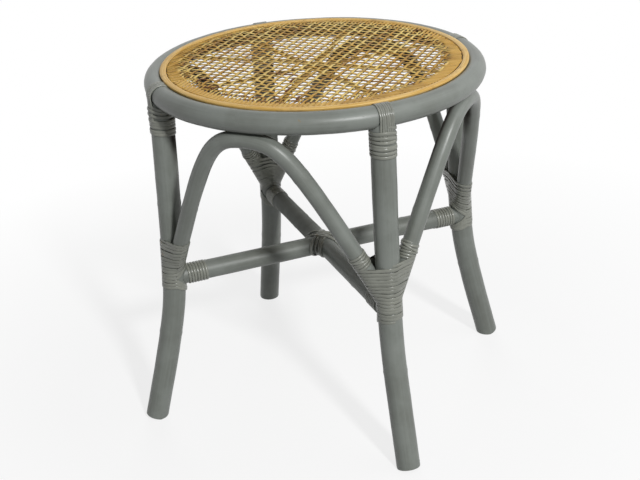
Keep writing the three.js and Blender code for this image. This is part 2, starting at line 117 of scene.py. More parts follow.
class SeatSizes(bpy.types.PropertyGroup):
    """The rim and all that lies inside it."""

    diameter: length("Diameter", "Across the outside of the rim", RIM_HIGH.x - RIM_LOW.x)
    top_height: length("Top height", "Height of the rim's top", RIM_HIGH.z)
    rim_pole: length("Rim pole", "Thickness of the rim's pole", RIM_HIGH.z - RIM_LOW.z)
    hoop_pole: length("Hoop pole", "Thickness of the hoop inside the rim", 15 * MM)
    hoop_lean: turn_of("Hoop lean", "How far the hoop sits down the rim's inner side", 78)
    bead_pole: length("Bead", "Thickness of the bead over the edge of the webbing", 8 * MM)
    bead_lean: turn_of("Bead lean", "How far the bead sits down the rim's inner side", 40)
    bead_flatness: amount("Bead flatness", "How much of its height the bead's upper half keeps", 0.4)
    borders: lengths(
        "Closed border",
        "Width of the webbing's closed border at eight places, from the right side round",
        (15, 11, 7, 5, 8, 16, 11, 13),
    )
    groove: length("Groove", "Gap between the webbing and the bead", 1.5 * MM)
    slack: length("Slack", "Gap between the border's strands at the back", 3 * MM)
    thickening: length("Thickening", "Width of the ring in which extra strands join the net", 13 * MM)
    pitch: length("Net pitch", "From one strand of the open net to the next", 11 * MM)
    strand_width: length("Strand width", "Width of a strand in the open net", 5.2 * MM)
    ring_width: length("Ring strand width", "Width of a strand where extra strands join", 3.3 * MM)
    strand_thickness: length("Strand thickness", "Thickness of a strand", 1.0 * MM)
    tie_width: length("Lashing width", "Width of a dark lashing on the net", 3.2 * MM)
    support_width: length("Support width", "Width of a strip under the webbing", 8.5 * MM)
    support_thickness: length("Support thickness", "Thickness of a strip under the webbing", 1.6 * MM)
    support_tenon: length("Support tenon", "How far a strip's end goes into the hoop", 4 * MM)
    support_angles: bpy.props.FloatVectorProperty(
        name="Support angles",
        description="Which way each strip under the webbing runs",
        default=[math.radians(angle) for angle in (3, 97, 50, 144)],
        size=4,
        unit="ROTATION",
    )


class PoleSizes(bpy.types.PropertyGroup):
    """The legs, the arches and the stretchers."""

    leg_pole: length("Leg pole", "Thickness of a leg", 29 * MM)
    leg_inset: length("Leg inset", "How far the top of a leg sits inside the rim's middle", 0.25 * MM)
    waist_spread: length("Waist spread", "How far a leg leans out down to its bend", 5.8 * MM)
    foot_spread: length("Foot spread", "How far a leg leans out down to the floor", 51.1 * MM)
    bend_drop: length("Bend drop", "How far the bend lies under the stretchers", 36.7 * MM)
    bend_ease: length("Bend ease", "How long the bend is drawn out", 48.7 * MM)
    foot_wear: length("Foot wear", "How high the outer edge of a foot is worn away", 5 * MM)
    arch_pole: length("Arch pole", "Thickness of an arch", 20 * MM)
    arch_foot_rise: length("Arch foot", "How far an arch starts above the stretchers", 5 * MM)
    arch_inset: length("Arch inset", "How far an arch's top sits inside the rim's middle", 3.75 * MM)
    shoulder_rise: amount("Shoulder rise", "Height of the shoulder as a share of the arch", 0.925)
    shoulder_span: amount("Shoulder span", "Reach of the shoulder as a share of the arch's half", 0.392)
    crown_span: amount("Crown span", "Reach of the crown as a share of the arch's half", 0.324)
    first_shoulders: shifts("First shoulders", "the shoulder at its first leg", (-1.9, -19.5, 0, -2))
    crowns: shifts("Crowns", "the crown", (-1.9, -7, 0, -4.5))
    second_shoulders: shifts("Second shoulders", "the shoulder at its second leg", (-1.9, 2.5, 0, -5))
    stretcher_pole: length("Stretcher pole", "Thickness of a stretcher", 24.5 * MM)
    stretcher_height: length("Stretcher height", "Height of the stretchers' middle", 197 * MM)
    unevenness: length("Unevenness", "How uneven the poles are", 0.7 * MM)


class CaneSizes(bpy.types.PropertyGroup):
    """The strips that bind the joints."""

    strip_width: length("Strip width", "Width of a strip of cane", 4.2 * MM)
    fine_width: length("Fine strip width", "Width of a strip round a stretcher's end", 3.4 * MM)
    strip_thickness: length("Strip thickness", "Thickness of a strip of cane", 1.1 * MM)
    gap: length("Gap", "The widest gap left between two turns", 2.1 * MM)
    strap_width: length("Strap width", "Width of the strips side by side over the rim", 17.5 * MM)
    strap_strips: number("Strap strips", "Number of strips side by side over the rim", 7)
    strap_tail: length("Strap tail", "How far a strap hangs down the leg", 14 * MM)
    top_turns: amount("Top turns", "Turns round the top of a leg", 7.6)
    top_pitch: length("Top pitch", "From one turn to the next at the top of a leg", 4.35 * MM)
    joint_rises: lengths(
        "Joint rises", "How far each joint is bound above the stretchers", (62, 59, 55, 54)
    )
    joint_drop: length("Joint drop", "How far a joint is bound below the stretchers' middle", 9 * MM)
    front_arch_turns: amount("Front arch turns", "Turns round an arch's end at the front joint", 5.4)
    back_arch_turns: amount("Back arch turns", "Turns round an arch's end at the back joint", 7.4)
    arch_end_drop: length("Arch end drop", "How far those turns start below their joint's top", 7 * MM)
    return_turns: amount("Return turns", "Turns in which the cane goes back over an arch's end", 1.2)
    stretcher_end_turns: amount("Stretcher end turns", "Turns round the end of a stretcher", 7.5)
    cross_turns: number("Crossing turns", "Turns each way round the crossing", 4)


class FastenerSizes(bpy.types.PropertyGroup):
    """The screws, nails and brads."""

    screw_shank: length("Screw shank", "Thickness of a screw", 4 * MM)
    screw_head: length("Screw head", "Across a screw's head", 8 * MM)
    screw_length: length("Screw length", "Length of the screw in a leg", 55.5 * MM)
    nail_shank: length("Nail shank", "Thickness of a nail", 2.6 * MM)
    nail_head: length("Nail head", "Across a nail's head", 5 * MM)
    arch_nail: length("Arch nail", "Length of the nail in an arch", 29.3 * MM)
    stretcher_nail: length("Stretcher nail", "Length of the nail in a stretcher", 48.3 * MM)
    brad: length("Brad", "Length of the brad in the hoop", 23.3 * MM)
    cross_cover: length("Crossing cover", "Wood left round the nail in the crossing", 5 * MM)
    head_thickness: length("Head thickness", "Thickness of a head", 1.2 * MM)
    recess: length("Recess", "How far a head is driven under the surface", 1 * MM)
    tip: length("Tip", "Length of a point", 4 * MM)


class StoolColours(bpy.types.PropertyGroup):
    """The colours as they show in plain light."""

    paint: colour("Paint", "Grey paint on the poles", (126, 131, 125))
    paint_light: colour("Light paint", "Paint where it lies thick", (138, 142, 137))
    paint_dark: colour("Dark paint", "Paint where it is thin or soiled", (104, 107, 100))
    bare: colour("Bare cane", "Cane where the paint is worn through", (138, 118, 84))
    bound_paint: colour("Painted cane", "Grey paint on the bindings", (143, 145, 135))
    cane: colour("Cane", "Strands of the seat", (206, 159, 64))
    cane_light: colour("Light cane", "Palest strands", (248, 217, 130))
    cane_dark: colour("Dark cane", "Darkest strands and nodes", (104, 58, 10))
    cane_red: colour("Stained cane", "Reddish stains on the cane", (104, 54, 26))
    border: colour("Border", "Closed border of the webbing", (204, 154, 66))
    bead: colour("Bead", "Bead round the seat", (238, 206, 140))
    # hoop: dark brown cane, darkened to near black as painted shade under the seat
    hoop: colour("Hoop", "Hoop under the border", (52, 28, 8))
    # depth: near-black painted shade for the depth under the seat, also used for scuffs on the
    # stretchers and dirt in the seams
    depth: colour("Depth", "Soiled cane in the depth under the seat", (26, 13, 3))
    steel: colour("Steel", "Nails and screws", (181, 181, 183))
    tarnish: colour("Tarnish", "Tarnish on the steel", (112, 102, 94))
    floor: colour("Floor", "What the floor throws back on the stool", (140, 140, 140))


class StageSizes(bpy.types.PropertyGroup):
    """The studio round the stool."""

    key_power: amount("Key lamp", "Power of the lamp at the front right", 172)
    side_power: amount("Side lamp", "Power of the lamp above the right", 1.2)
    back_power: amount("Back lamp", "Power of the soft lamp behind", 45)
    sky_power: amount("Sky", "Strength of the light from all round", 0.16)
    shadow_share: amount("Shadow", "How much of the shadow the shown floor keeps", 0.22)


def seat():
    return bpy.context.scene.stool_seat


def poles():
    return bpy.context.scene.stool_poles


def cane():
    return bpy.context.scene.stool_cane


def fasteners():
    return bpy.context.scene.stool_fasteners


def colours():
    return bpy.context.scene.stool_colours


def studio():
    return bpy.context.scene.stool_stage


# Places that follow from the sizes
def outward(angle):
    """The level way out from the axis at an angle."""
    return Vector((math.cos(angle), math.sin(angle), 0))


def rim_middle():
    """Reach and height of the middle of the rim's pole."""
    return (seat().diameter - seat().rim_pole) / 2, seat().top_height - seat().rim_pole / 2


def beside_rim(pole, lean):
    """Reach and height of the middle of a pole that lies against the rim's inner side."""
    reach, height = rim_middle()
    away = (seat().rim_pole + pole) / 2 + FIT
    return reach - away * math.sin(lean), height + away * math.cos(lean)


def leg_reach(height):
    """How far a leg's middle stands from the stool's axis: two straights with an eased bend."""
    size = poles()
    rim_reach, rim_height = rim_middle()
    top = rim_reach - size.leg_inset
    bend_height = size.stretcher_height - size.bend_drop
    upper_slope = -size.waist_spread / (rim_height - bend_height)
    lower_slope = (size.waist_spread - size.foot_spread) / bend_height
    above = height - bend_height
    eased = (above + math.hypot(above, size.bend_ease)) / 2
    return top + size.waist_spread + lower_slope * (above - eased) + upper_slope * eased


def leg_point(angle, height):
    return outward(angle) * leg_reach(height) + UP * height


def leg_line(low, high, steps=60):
    """The middle line of the leg at angle zero between two heights."""
    return [leg_point(0, low + (high - low) * step / steps) for step in range(steps + 1)]


def arch_apex():
    """Reach and height of the top of an arch's middle line."""
    rim_reach, rim_height = rim_middle()
    away = (seat().rim_pole + poles().arch_pole) / 2 + FIT
    return rim_reach - poles().arch_inset, rim_height - math.sqrt(away**2 - poles().arch_inset**2)


def arch_line(index):
    """The middle line of an arch from its first leg to its second, in a plane that leans out."""
    size = poles()
    foot = size.stretcher_height + size.arch_foot_rise
    half = leg_reach(foot) * math.cos(QUARTER / 2)
    apex_reach, apex = arch_apex()
    crown = size.crowns[index]

    def place(side, height):
        reach = half + (apex_reach - half) * (height - foot) / (apex - foot)
        return Vector((reach, side, height))

    shoulder = foot + (apex - foot) * size.shoulder_rise
    lines = []
    for side, bent in ((-1, size.first_shoulders[index]), (1, size.second_shoulders[index])):
        knots = (
            place(side * half, foot),
            place(side * half * size.shoulder_span + bent, shoulder),
            place(side * half * size.crown_span + (bent + crown) / 2, apex),
            place(crown, apex),
        )
        lines.append(interpolate_bezier(*knots, 60))
    turn = Matrix.Rotation(QUARTER * index, 3, "Z")
    return [turn @ point for point in lines[0] + lines[1][-2::-1]]


def point_at_height(line, height):
    """Where a line that rises from its first point passes a height, and which way it runs there."""
    for before, after in zip(line, line[1:]):
        if after.z >= height:
            way = after - before
            return before + way * ((height - before.z) / way.z), way.normalized()
    raise ValueError("the line never reaches that height")


# Work by hand
def only(*pieces):
    """Selects these pieces and nothing else; the last one is active."""
    bpy.ops.object.select_all(action="DESELECT")
    for piece in pieces:
        piece.select_set(True)
        bpy.context.view_layer.objects.active = piece


@contextmanager
def editing(piece, kind="VERT"):
    """Edit mode on one piece with nothing selected."""
    only(piece)
    bpy.ops.object.mode_set(mode="EDIT")
    bpy.ops.mesh.select_mode(type=kind)
    bpy.ops.mesh.select_all(action="DESELECT")
    yield bmesh.from_edit_mesh(piece.data)
    bpy.ops.object.mode_set(mode="OBJECT")


def choose(mesh, parts, wanted):
    """Selects the wanted points, edges or faces in edit mode."""
    for part in parts:
        part.select_set(wanted(part))
    mesh.select_flush_mode()


def longer_than(least, axis="z"):
    """Wants the edges that reach further than a length along an axis."""

    def wanted(edge):
        one, other = (getattr(vert.co, axis) for vert in edge.verts)
        return abs(one - other) > least

    return wanted


def new_primitive(name, add, **settings):
    """A fresh primitive whose place is in its mesh."""
    bpy.ops.object.select_all(action="DESELECT")
    add(**settings)
    piece = bpy.context.object
    piece.name = name
    bpy.ops.object.transform_apply(location=True, rotation=True, scale=True)
    return piece


def modify(piece, kind, **settings):
    """Adds a modifier to a piece and applies it."""
    only(piece)
    bpy.ops.object.modifier_add(type=kind)
    modifier = piece.modifiers[-1]
    for setting, value in settings.items():
        setattr(modifier, setting, value)
    bpy.ops.object.modifier_apply(modifier=modifier.name)


def remove(piece):
    only(piece)
    bpy.ops.object.delete()


def carve(piece, tool):
    """Takes the tool's shape out of a piece."""
    modify(piece, "BOOLEAN", operation="DIFFERENCE", solver="EXACT", object=tool)
    remove(tool)


def slice_off(piece, place, way):
    """Cuts off what lies beyond a plane and closes the cut."""
    with editing(piece) as mesh:
        choose(mesh, mesh.verts, lambda _: True)
        bpy.ops.mesh.bisect(plane_co=place, plane_no=way, use_fill=True, clear_outer=True)


def turned_copy(piece, name, angle):
    """A copy with its own mesh, turned round the stool's axis."""
    only(piece)
    bpy.ops.object.duplicate()
    copy = bpy.context.object
    copy.name = name
    copy.rotation_euler.z = angle
    bpy.ops.object.transform_apply(location=True, rotation=True, scale=True)
    return copy


def smooth(piece, degrees=40):
    only(piece)
    bpy.ops.object.shade_smooth_by_angle(angle=math.radians(degrees))


def hand_over(piece, finish, slot, *nodes):
    """Gives a finished piece its material and its place in the frame."""
    piece.data.materials.clear()
    piece.data.materials.append(finish)
    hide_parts(*nodes)
    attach(piece, "root")


def store(piece, name, kind, values):
    """Keeps a value of each point for the material to read."""
    layer = piece.data.attributes.new(name, kind, "POINT")
    layer.data.foreach_set("vector" if kind == "FLOAT_VECTOR" else "value", values)


def store_grain(piece, straight):
    """Keeps where each point would be if its pole or strip ran straight."""
    places = []
    for vert in piece.data.vertices:
        places += straight(vert.co)
    store(piece, "grain", "FLOAT_VECTOR", places)


# Poles
def guide_along(line):
    """A curve through the points of a line."""
    curve = bpy.data.curves.new("guide", "CURVE")
    curve.dimensions = "3D"
    spline = curve.splines.new("POLY")
    spline.points.add(len(line) - 1)
    for spot, point in zip(spline.points, line):
        spot.co = (*point, 1)
    guide = bpy.data.objects.new("guide", curve)
    bpy.context.collection.objects.link(guide)
    return guide


def run_of(line):
    """The distance along a line at each of its points."""
    total = [0.0]
    for before, after in zip(line, line[1:]):
        total.append(total[-1] + (after - before).length)
    return total


def weather(piece, strength=None):
    """Makes a pole uneven, as grown cane is."""
    texture = bpy.data.textures.get("uneven") or bpy.data.textures.new("uneven", "CLOUDS")
    texture.noise_scale = 0.045
    modify(
        piece,
        "DISPLACE",
        texture=texture,
        texture_coords="LOCAL",
        strength=poles().unevenness if strength is None else strength,
        mid_level=0.5,
    )


def swell(piece, places):
    """Raises a low ring on a straight pole wherever a leaf once grew."""
    with editing(piece) as mesh:
        for place in places:
            ring = min((abs(vert.co.z - place), vert.co.z) for vert in mesh.verts)[1]
            choose(mesh, mesh.verts, lambda vert: abs(vert.co.z - ring) < FIT)
            bpy.ops.transform.resize(
                value=(1.03, 1.03, 1), center_override=(0, 0, ring), orient_type="GLOBAL"
            )


def bent_cylinder(name, line, thickness, cuts, leaf_scars=()):
    """A straight cylinder as long as a line, subdivided and then bent along it."""
    long = run_of(line)[-1]
    pole = new_primitive(
        name,
        bpy.ops.mesh.primitive_cylinder_add,
        vertices=32,
        radius=thickness / 2,
        depth=long,
        location=(0, 0, long / 2),
    )
    with editing(pole, "EDGE") as mesh:
        choose(mesh, mesh.edges, longer_than(long / 2))
        bpy.ops.mesh.subdivide(number_cuts=cuts)
    swell(pole, [long * share for share in leaf_scars])
    guide = guide_along(line)
    bpy.context.view_layer.update()
    modify(pole, "CURVE", object=guide, deform_axis="POS_Z")
    remove(guide)
    return pole


def bent_pole(name, line, thickness, leaf_scars):
    """A grown pole bent along a line."""
    cuts = int(run_of(line)[-1] / (5 * MM))
    pole = bent_cylinder(name, line, thickness, cuts, leaf_scars)
    weather(pole)
    return pole


def slope(value, start, run):
    """0 up to a start, then an even rise to 1 over a run."""
    return min(max((value - start) / run, 0), 1)


def shade_under_seat(place, off):
    """How much painted shade a pole takes: on its inward side, high under the seat, where the seat's
    shadow falls.
    """
    inward = -off.xy.dot(place.xy) / (off.xy.length * place.xy.length + FIT * MM)
    # painted shade: darkens the inward side of legs and arches high under the seat
    return slope(inward, 0, 0.5) * slope(place.z, 340 * MM, 40 * MM)


def scuff_and_far_shade(place, off):
    """How dark a stretcher is made: a little all over for scuffs, and more on its far half as painted
    shade.
    """
    # 0.1 is scuffing all over; the rise towards the back leg is painted shade
    return 0.1 + slope(place.y - place.x, 0, 60 * MM) * 0.35


def mark_grain(piece, line, soiled):
    """Stores where each point of a bent pole would be if the pole were straight, and how much painted
    shade and scuffing it takes.
    """
    last = len(line) - 1
    ways = []
    for index in range(len(line)):
        ways.append((line[min(index + 1, last)] - line[max(index - 1, 0)]).normalized())
    side = ways[0].orthogonal().normalized()
    sides = []
    for way in ways:
        side = (side - way * side.dot(way)).normalized()
        sides.append(side)
    run = run_of(line)
    tree = KDTree(len(line))
    for index, point in enumerate(line):
        tree.insert(point, index)
    tree.balance()
    soil = []

    def straight(place):
        point, index, _ = tree.find(place)
        off = place - point
        # the mask passed in gives painted shade under the seat, or scuffs and painted shade on a
        # stretcher
        soil.append(soiled(place, off))
        way, side = ways[index], sides[index]
        return off.dot(side), off.dot(way.cross(side)), run[index] + off.dot(way)

    store_grain(piece, straight)
    store(piece, "soil", "FLOAT", soil)


def ring_pole(name, reach, height, thickness, flatten=1.0):
    """A pole bent to a closed ring; flatten presses its upper half down."""
    ring = new_primitive(
        name,
        bpy.ops.mesh.primitive_torus_add,
        major_segments=192,
        minor_segments=28,
        major_radius=reach,
        minor_radius=thickness / 2,
        location=(0, 0, height),
    )
    with editing(ring) as mesh:
        choose(mesh, mesh.verts, lambda vert: vert.co.z > height)
        bpy.ops.transform.resize(
            value=(1, 1, flatten), center_override=(0, 0, height), orient_type="GLOBAL"
        )
    weather(ring, min(poles().unevenness, thickness / 25))

    def straight(place):
        return place.xy.length - reach, place.z - height, math.atan2(-place.x, place.y) * reach

    store_grain(ring, straight)
    smooth(ring)
    return ring


# Sections of a strip of cane, as shares of its width and its thickness
def mirrored(*half):
    """A section from its left half and its top."""
    return (*half, *((-side, rise) for side, rise in half[-2::-1]))


CROWNED = mirrored((-0.5, 0.0), (-0.47, 0.5), (-0.27, 0.9), (0.0, 1.0))
FLAT = mirrored((-0.5, 0.0), (-0.49, 0.78), (-0.42, 0.95), (0.0, 1.0))
CORD = (*mirrored((-0.5, -0.3), (-0.4, 0.12), (-0.22, 0.42), (0.0, 0.5)), (0.0, -0.5))


class Strips:
    """Strips of cane gathered into one mesh.

    Each point keeps its place in its strip, the strip's tone, how near the strip's edge it lies, and
    1 where strips lie closed side by side.
    """

    def __init__(self, profile=CROWNED):
        self.profile = profile
        self.points = []
        self.faces = []
        self.grain = []
        self.tone = []
        self.edge = []
        self.closed = []

    def lay(self, stops, tone, closed=None):
        """Adds a strip along stops: each has a point, the way out, a width and a thickness."""
        size = len(self.profile)
        start = len(self.points)
        along = 7.3 * len(self.tone) * MM
        for index, (point, out, width, thickness) in enumerate(stops):
            before = stops[max(index - 1, 0)][0]
            after = stops[min(index + 1, len(stops) - 1)][0]
            way = (after - before).normalized()
            across = way.cross(out).normalized()
            raised = across.cross(way).normalized()
            along += (point - stops[max(index - 1, 0)][0]).length
            for side, rise in self.profile:
                self.points.append(point + across * side * width + raised * rise * thickness)
                self.grain += [side * width, rise * thickness, along]
                self.tone.append(tone)
                self.edge.append(2 * abs(side))
                self.closed.append(closed[index] if closed else 0)
        for row in range(start, len(self.points) - size, size):
            for spot in range(size):
                after = (spot + 1) % size
                self.faces.append((row + spot, row + after, row + size + after, row + size + spot))
        last = len(self.points) - size
        self.faces.append(tuple(start + spot for spot in reversed(range(size))))
        self.faces.append(tuple(last + spot for spot in range(size)))

    def piece(self, name):
        """Makes the gathered strips one piece."""
        mesh = bpy.data.meshes.new(name)
        mesh.from_pydata(self.points, [], self.faces)
        piece = bpy.data.objects.new(name, mesh)
        bpy.context.collection.objects.link(piece)
        store(piece, "grain", "FLOAT_VECTOR", self.grain)
        for kept in ("tone", "edge", "closed"):
            store(piece, kept, "FLOAT", getattr(self, kept))
        with editing(piece) as edit_mesh:
            choose(edit_mesh, edit_mesh.verts, lambda _: True)
            bpy.ops.mesh.normals_make_consistent(inside=False)
        smooth(piece, 50)
        return piece

    def bind(self, name, node):
        """Makes the gathered strips one painted winding or strap."""
        hand_over(self.piece(name), painted_cane(), "grey_cane", node)


def wobble(place, seed):
    """A slow, repeatable wander between -1 and 1."""
    return 2 * noise.noise(Vector((place, 7.7 * seed, 3.1)))


def wind(turns, stop_at, seed, steps=36, width=None):
    """The stops of a strip wound round something, its ends tucked in.

    stop_at gives a point and the way out for a turn.
    """
    size = cane()
    width = size.strip_width if width is None else width
    count = int(turns * steps)
    stops = []
    for step in range(count + 1):
        turn = step / steps
        point, out = stop_at(turn)
        from_end = min(step, count - step) / steps * 6
        tuck = max(0.0, 1 - from_end)
        broad = width * (1 + 0.07 * wobble(turn * 0.9, seed)) * (1 - 0.35 * tuck)
        stops.append((point - out * size.strip_thickness * tuck, out, broad, size.strip_thickness))
    return stops


def ring_stop(centre, way, first, radius, angle):
    """A point at an angle on a ring round a centre, and the way out there."""
    out = first * math.cos(angle) + way.cross(first) * math.sin(angle)
    return centre + out * radius, out


# The outline drawn tight round a leg and the two arch ends beside it
def hull(points):
    """The convex outline of points in the plane, anticlockwise."""
    points = sorted(points)

    def half(run):
        kept = []
        for x, y in run:
            while len(kept) > 1:
                (ax, ay), (bx, by) = kept[-2:]
                if (bx - ax) * (y - ay) - (by - ay) * (x - ax) > 0:
                    break
                kept.pop()
            kept.append((x, y))
        return kept[:-1]

    return half(points) + half(points[::-1])


class Bundle:
    """A leg and the ends of its two arches."""

    def __init__(self, index):
        self.angle = CORNER_ANGLES[index]
        self.arches = [arch_line(index), arch_line((index - 1) % 4)[::-1]]
        self.foot = self.arches[0][0].z

    def sections(self, height):
        """Centre, long radius, short radius and long way of each pole cut level at a height."""
        radius = poles().leg_pole / 2
        found = [(leg_point(self.angle, height), radius, radius, Vector((1, 0, 0)))]
        for line in self.arches:
            if height > self.foot:
                point, way = point_at_height(line, height)
                radius = poles().arch_pole / 2
                found.append((point, radius / way.z, radius, Vector((way.x, way.y, 0)).normalized()))
        return found

    def point(self, height, angle, clear):
        """The outline's point at an angle, seen from the middle of the bundle."""
        spots = []
        sections = self.sections(height)
        for centre, long, short, level in sections:
            aside = Vector((-level.y, level.x, 0))
            for step in range(24):
                turn = math.pi * step / 12
                spot = centre + level * (long + clear) * math.cos(turn)
                spot += aside * (short + clear) * math.sin(turn)
                spots.append((spot.x, spot.y))
        middle = sum((section[0] for section in sections), Vector()) / len(sections)
        way = outward(self.angle + angle)
        outline = hull(spots)
        for (ax, ay), (bx, by) in zip(outline, outline[1:] + outline[:1]):
            edge = Vector((bx - ax, by - ay))
            turn = way.x * edge.y - way.y * edge.x
            if turn <= 0:
                continue
            off = Vector((ax - middle.x, ay - middle.y))
            reach = (off.x * edge.y - off.y * edge.x) / turn
            share = (off.x * way.y - off.y * way.x) / turn
            if reach > 0 and -1e-9 <= share <= 1 + 1e-9:
                return Vector((middle.x + way.x * reach, middle.y + way.y * reach, height))
        raise ValueError("the outline doesn't go round its own middle")

    def stop(self, height, angle, clear):
        """A point on the outline and the way out there."""
        point = self.point(height, angle, clear)
        aside = self.point(height, angle + 0.05, clear) - self.point(height, angle - 0.05, clear)
        rise = self.point(height + 1 * MM, angle, clear) - self.point(height - 1 * MM, angle, clear)
        return point, aside.cross(rise).normalized()


# Finishes
class Socket:
    """An output of a node. Python's operators on numbers add Math nodes."""

    def __init__(self, nodes, socket):
        self.nodes = nodes
        self.socket = socket

    def math(self, operation, other):
        return self.nodes.math(operation, self, other)

    def __add__(self, other):
        return self.math("ADD", other)

    def __sub__(self, other):
        return self.math("SUBTRACT", other)

    def __mul__(self, other):
        return self.math("MULTIPLY", other)

    def __radd__(self, other):
        return self.math("ADD", other)

    def __rsub__(self, other):
        return self.nodes.math("SUBTRACT", other, self)

    def __rmul__(self, other):
        return self.math("MULTIPLY", other)

    def between(self, low, high):
        """0 up to low, 1 from high on, and an even slope between them."""
        return self.nodes.node(
            "ShaderNodeMapRange", {"clamp": True}, {"Value": self, "From Min": low, "From Max": high}
        )


class Nodes:
    """The nodes of a material or of the sky, and the ways to add to them."""

    def __init__(self, owner):
        owner.use_nodes = True
        self.tree = owner.node_tree

    def put(self, socket, value):
        if isinstance(value, Socket):
            self.tree.links.new(value.socket, socket)
        elif socket.type == "RGBA" and len(value) == 3:
            socket.default_value = (*value, 1)
        else:
            socket.default_value = value

    def node(self, kind, settings=None, values=None, output=None):
        """Adds a node: its settings first, then the values or links of its sockets."""
        node = self.tree.nodes.new(kind)
        for name, value in (settings or {}).items():
            setattr(node, name, value)
        for name, value in (values or {}).items():
            if isinstance(name, int):
                socket = node.inputs[name]
            else:
                socket = next(s for s in node.inputs if s.name == name and s.enabled)
            self.put(socket, value)
        outputs = [s for s in node.outputs if s.enabled and output in (None, s.name)]
        return Socket(self, outputs[0])

    def math(self, operation, one, other):
        return self.node("ShaderNodeMath", {"operation": operation}, {0: one, 1: other})

    def seen(self):
        """1 where the camera looks, straight or through a reflection or glass, and 0 for light."""
        rays = ("Is Camera Ray", "Is Glossy Ray", "Is Transmission Ray")
        camera, glossy, through = (self.node("ShaderNodeLightPath", output=ray) for ray in rays)
        return camera.math("MAXIMUM", glossy).math("MAXIMUM", through)

    def show(self, share, lit, shown):
        """Ends the tree in a mix of what lights the stool and what is shown."""
        mixed = self.node("ShaderNodeMixShader", None, {0: share, 1: lit, 2: shown})
        end = next(node for node in self.tree.nodes if node.bl_idname.startswith("ShaderNodeOutput"))
        self.put(end.inputs["Surface"], mixed)


class Finish(Nodes):
    """A material."""

    def __init__(self, name):
        self.material = bpy.data.materials.new(name)
        super().__init__(self.material)
        self.shader = self.tree.nodes["Principled BSDF"]

    def set(self, **values):
        for name, value in values.items():
            self.put(self.shader.inputs[name.replace("_", " ")], value)

    def here(self):
        return self.node("ShaderNodeTexCoord", output="Object")

    def kept(self, name, output="Vector"):
        return self.node("ShaderNodeAttribute", {"attribute_name": name}, output=output)

    def stretched(self, vector, scale):
        return self.node("ShaderNodeVectorMath", {"operation": "MULTIPLY"}, {0: vector, 1: scale})

    def noise(self, vector, scale, detail=3.0, roughness=0.5):
        values = {"Vector": vector, "Scale": scale, "Detail": detail, "Roughness": roughness}
        return self.node("ShaderNodeTexNoise", None, values, "Fac")

    def blend(self, share, one, other):
        values = {"Factor": share, "A": one, "B": other}
        return self.node("ShaderNodeMix", {"data_type": "RGBA"}, values)

    def raise_by(self, height, depth, strength):
        values = {"Height": height, "Distance": depth, "Strength": strength}
        self.set(Normal=self.node("ShaderNodeBump", None, values))


FINISHES = {}


def finish_of(make):
    """Makes each finish once, the first time that a piece asks for it."""

    def ask():
        if make.__name__ not in FINISHES:
            FINISHES[make.__name__] = make()
        return FINISHES[make.__name__]

    return ask


def build_paint(made):
    """Satin grey paint over a cane pole: faint fibres, brush marks, scuffs, rubbed spots and painted
    shade.
    """
    tint = colours()
    lie = made.kept("grain")
    here = made.here()
    fibre = made.noise(made.stretched(lie, (900, 900, 18)), 1, 3, 0.6)
    brush = made.noise(made.stretched(lie, (260, 260, 9)), 1, 2)
    cloud = made.noise(here, 16, 4, 0.6)
    pores = made.noise(made.stretched(lie, (1500, 1500, 260)), 1, 2)
    rubbed = made.noise(here, 42, 5, 0.65)
    shade = (fibre * 0.2 + brush * 0.2 + cloud * 0.6).between(0.3, 0.56)
    base = made.blend(shade, tint.paint_dark, tint.paint)
    thick = cloud.between(0.5, 0.8) * 0.6 + brush.between(0.6, 0.8) * 0.25
    open_pores = pores.between(0.68, 0.76)
    base = made.blend(thick, base, tint.paint_light)
    base = made.blend(open_pores * 0.5, base, tint.paint_dark)
    base = made.blend(rubbed.between(0.72, 0.75) * 0.8, base, tint.bare)
    # painted shade under the seat and on the stretchers' far halves, with some real scuffing, darkens
    # the paint and dulls it
    soil = made.kept("soil", "Fac") * (0.75 + rubbed.between(0.3, 0.6) * 0.2)
    base = made.blend(soil, base, tint.depth)
    satin = 0.25 + cloud * 0.2 + brush * 0.06 + soil * 0.8
    made.set(Base_Color=base, Roughness=satin, Specular_IOR_Level=0.5)
    made.raise_by(fibre * 0.35 + brush * 0.35 + cloud - open_pores * 0.6, 0.3 * MM, 0.6)
    return base, satin


@finish_of
def painted_pole():
    made = Finish("painted pole")
    build_paint(made)
    return made.material


@finish_of
def painted_rim():
    """The paint of the poles, left off on the side that faces the webbing's underside; that bare inner
    side is coloured near black as painted shade.
    """
    tint = colours()
    made = Finish("painted rim")
    painted, satin = build_paint(made)
    lie = made.kept("grain")
    inward = made.node("ShaderNodeSeparateXYZ", None, {"Vector": lie}, "X")
    ragged = made.noise(made.stretched(lie, (90, 90, 30)), 1, 3, 0.6)
    # painted shade: the bare inner side is coloured near black, between the depth and hoop colours
    bare = made.blend(ragged.between(0.4, 0.7), tint.depth, tint.hoop)
    edge = (inward + ragged * 5 * MM).between(-5 * MM, -7.5 * MM)
    made.set(Base_Color=made.blend(edge, painted, bare), Roughness=satin + edge * 0.45)
    return made.material


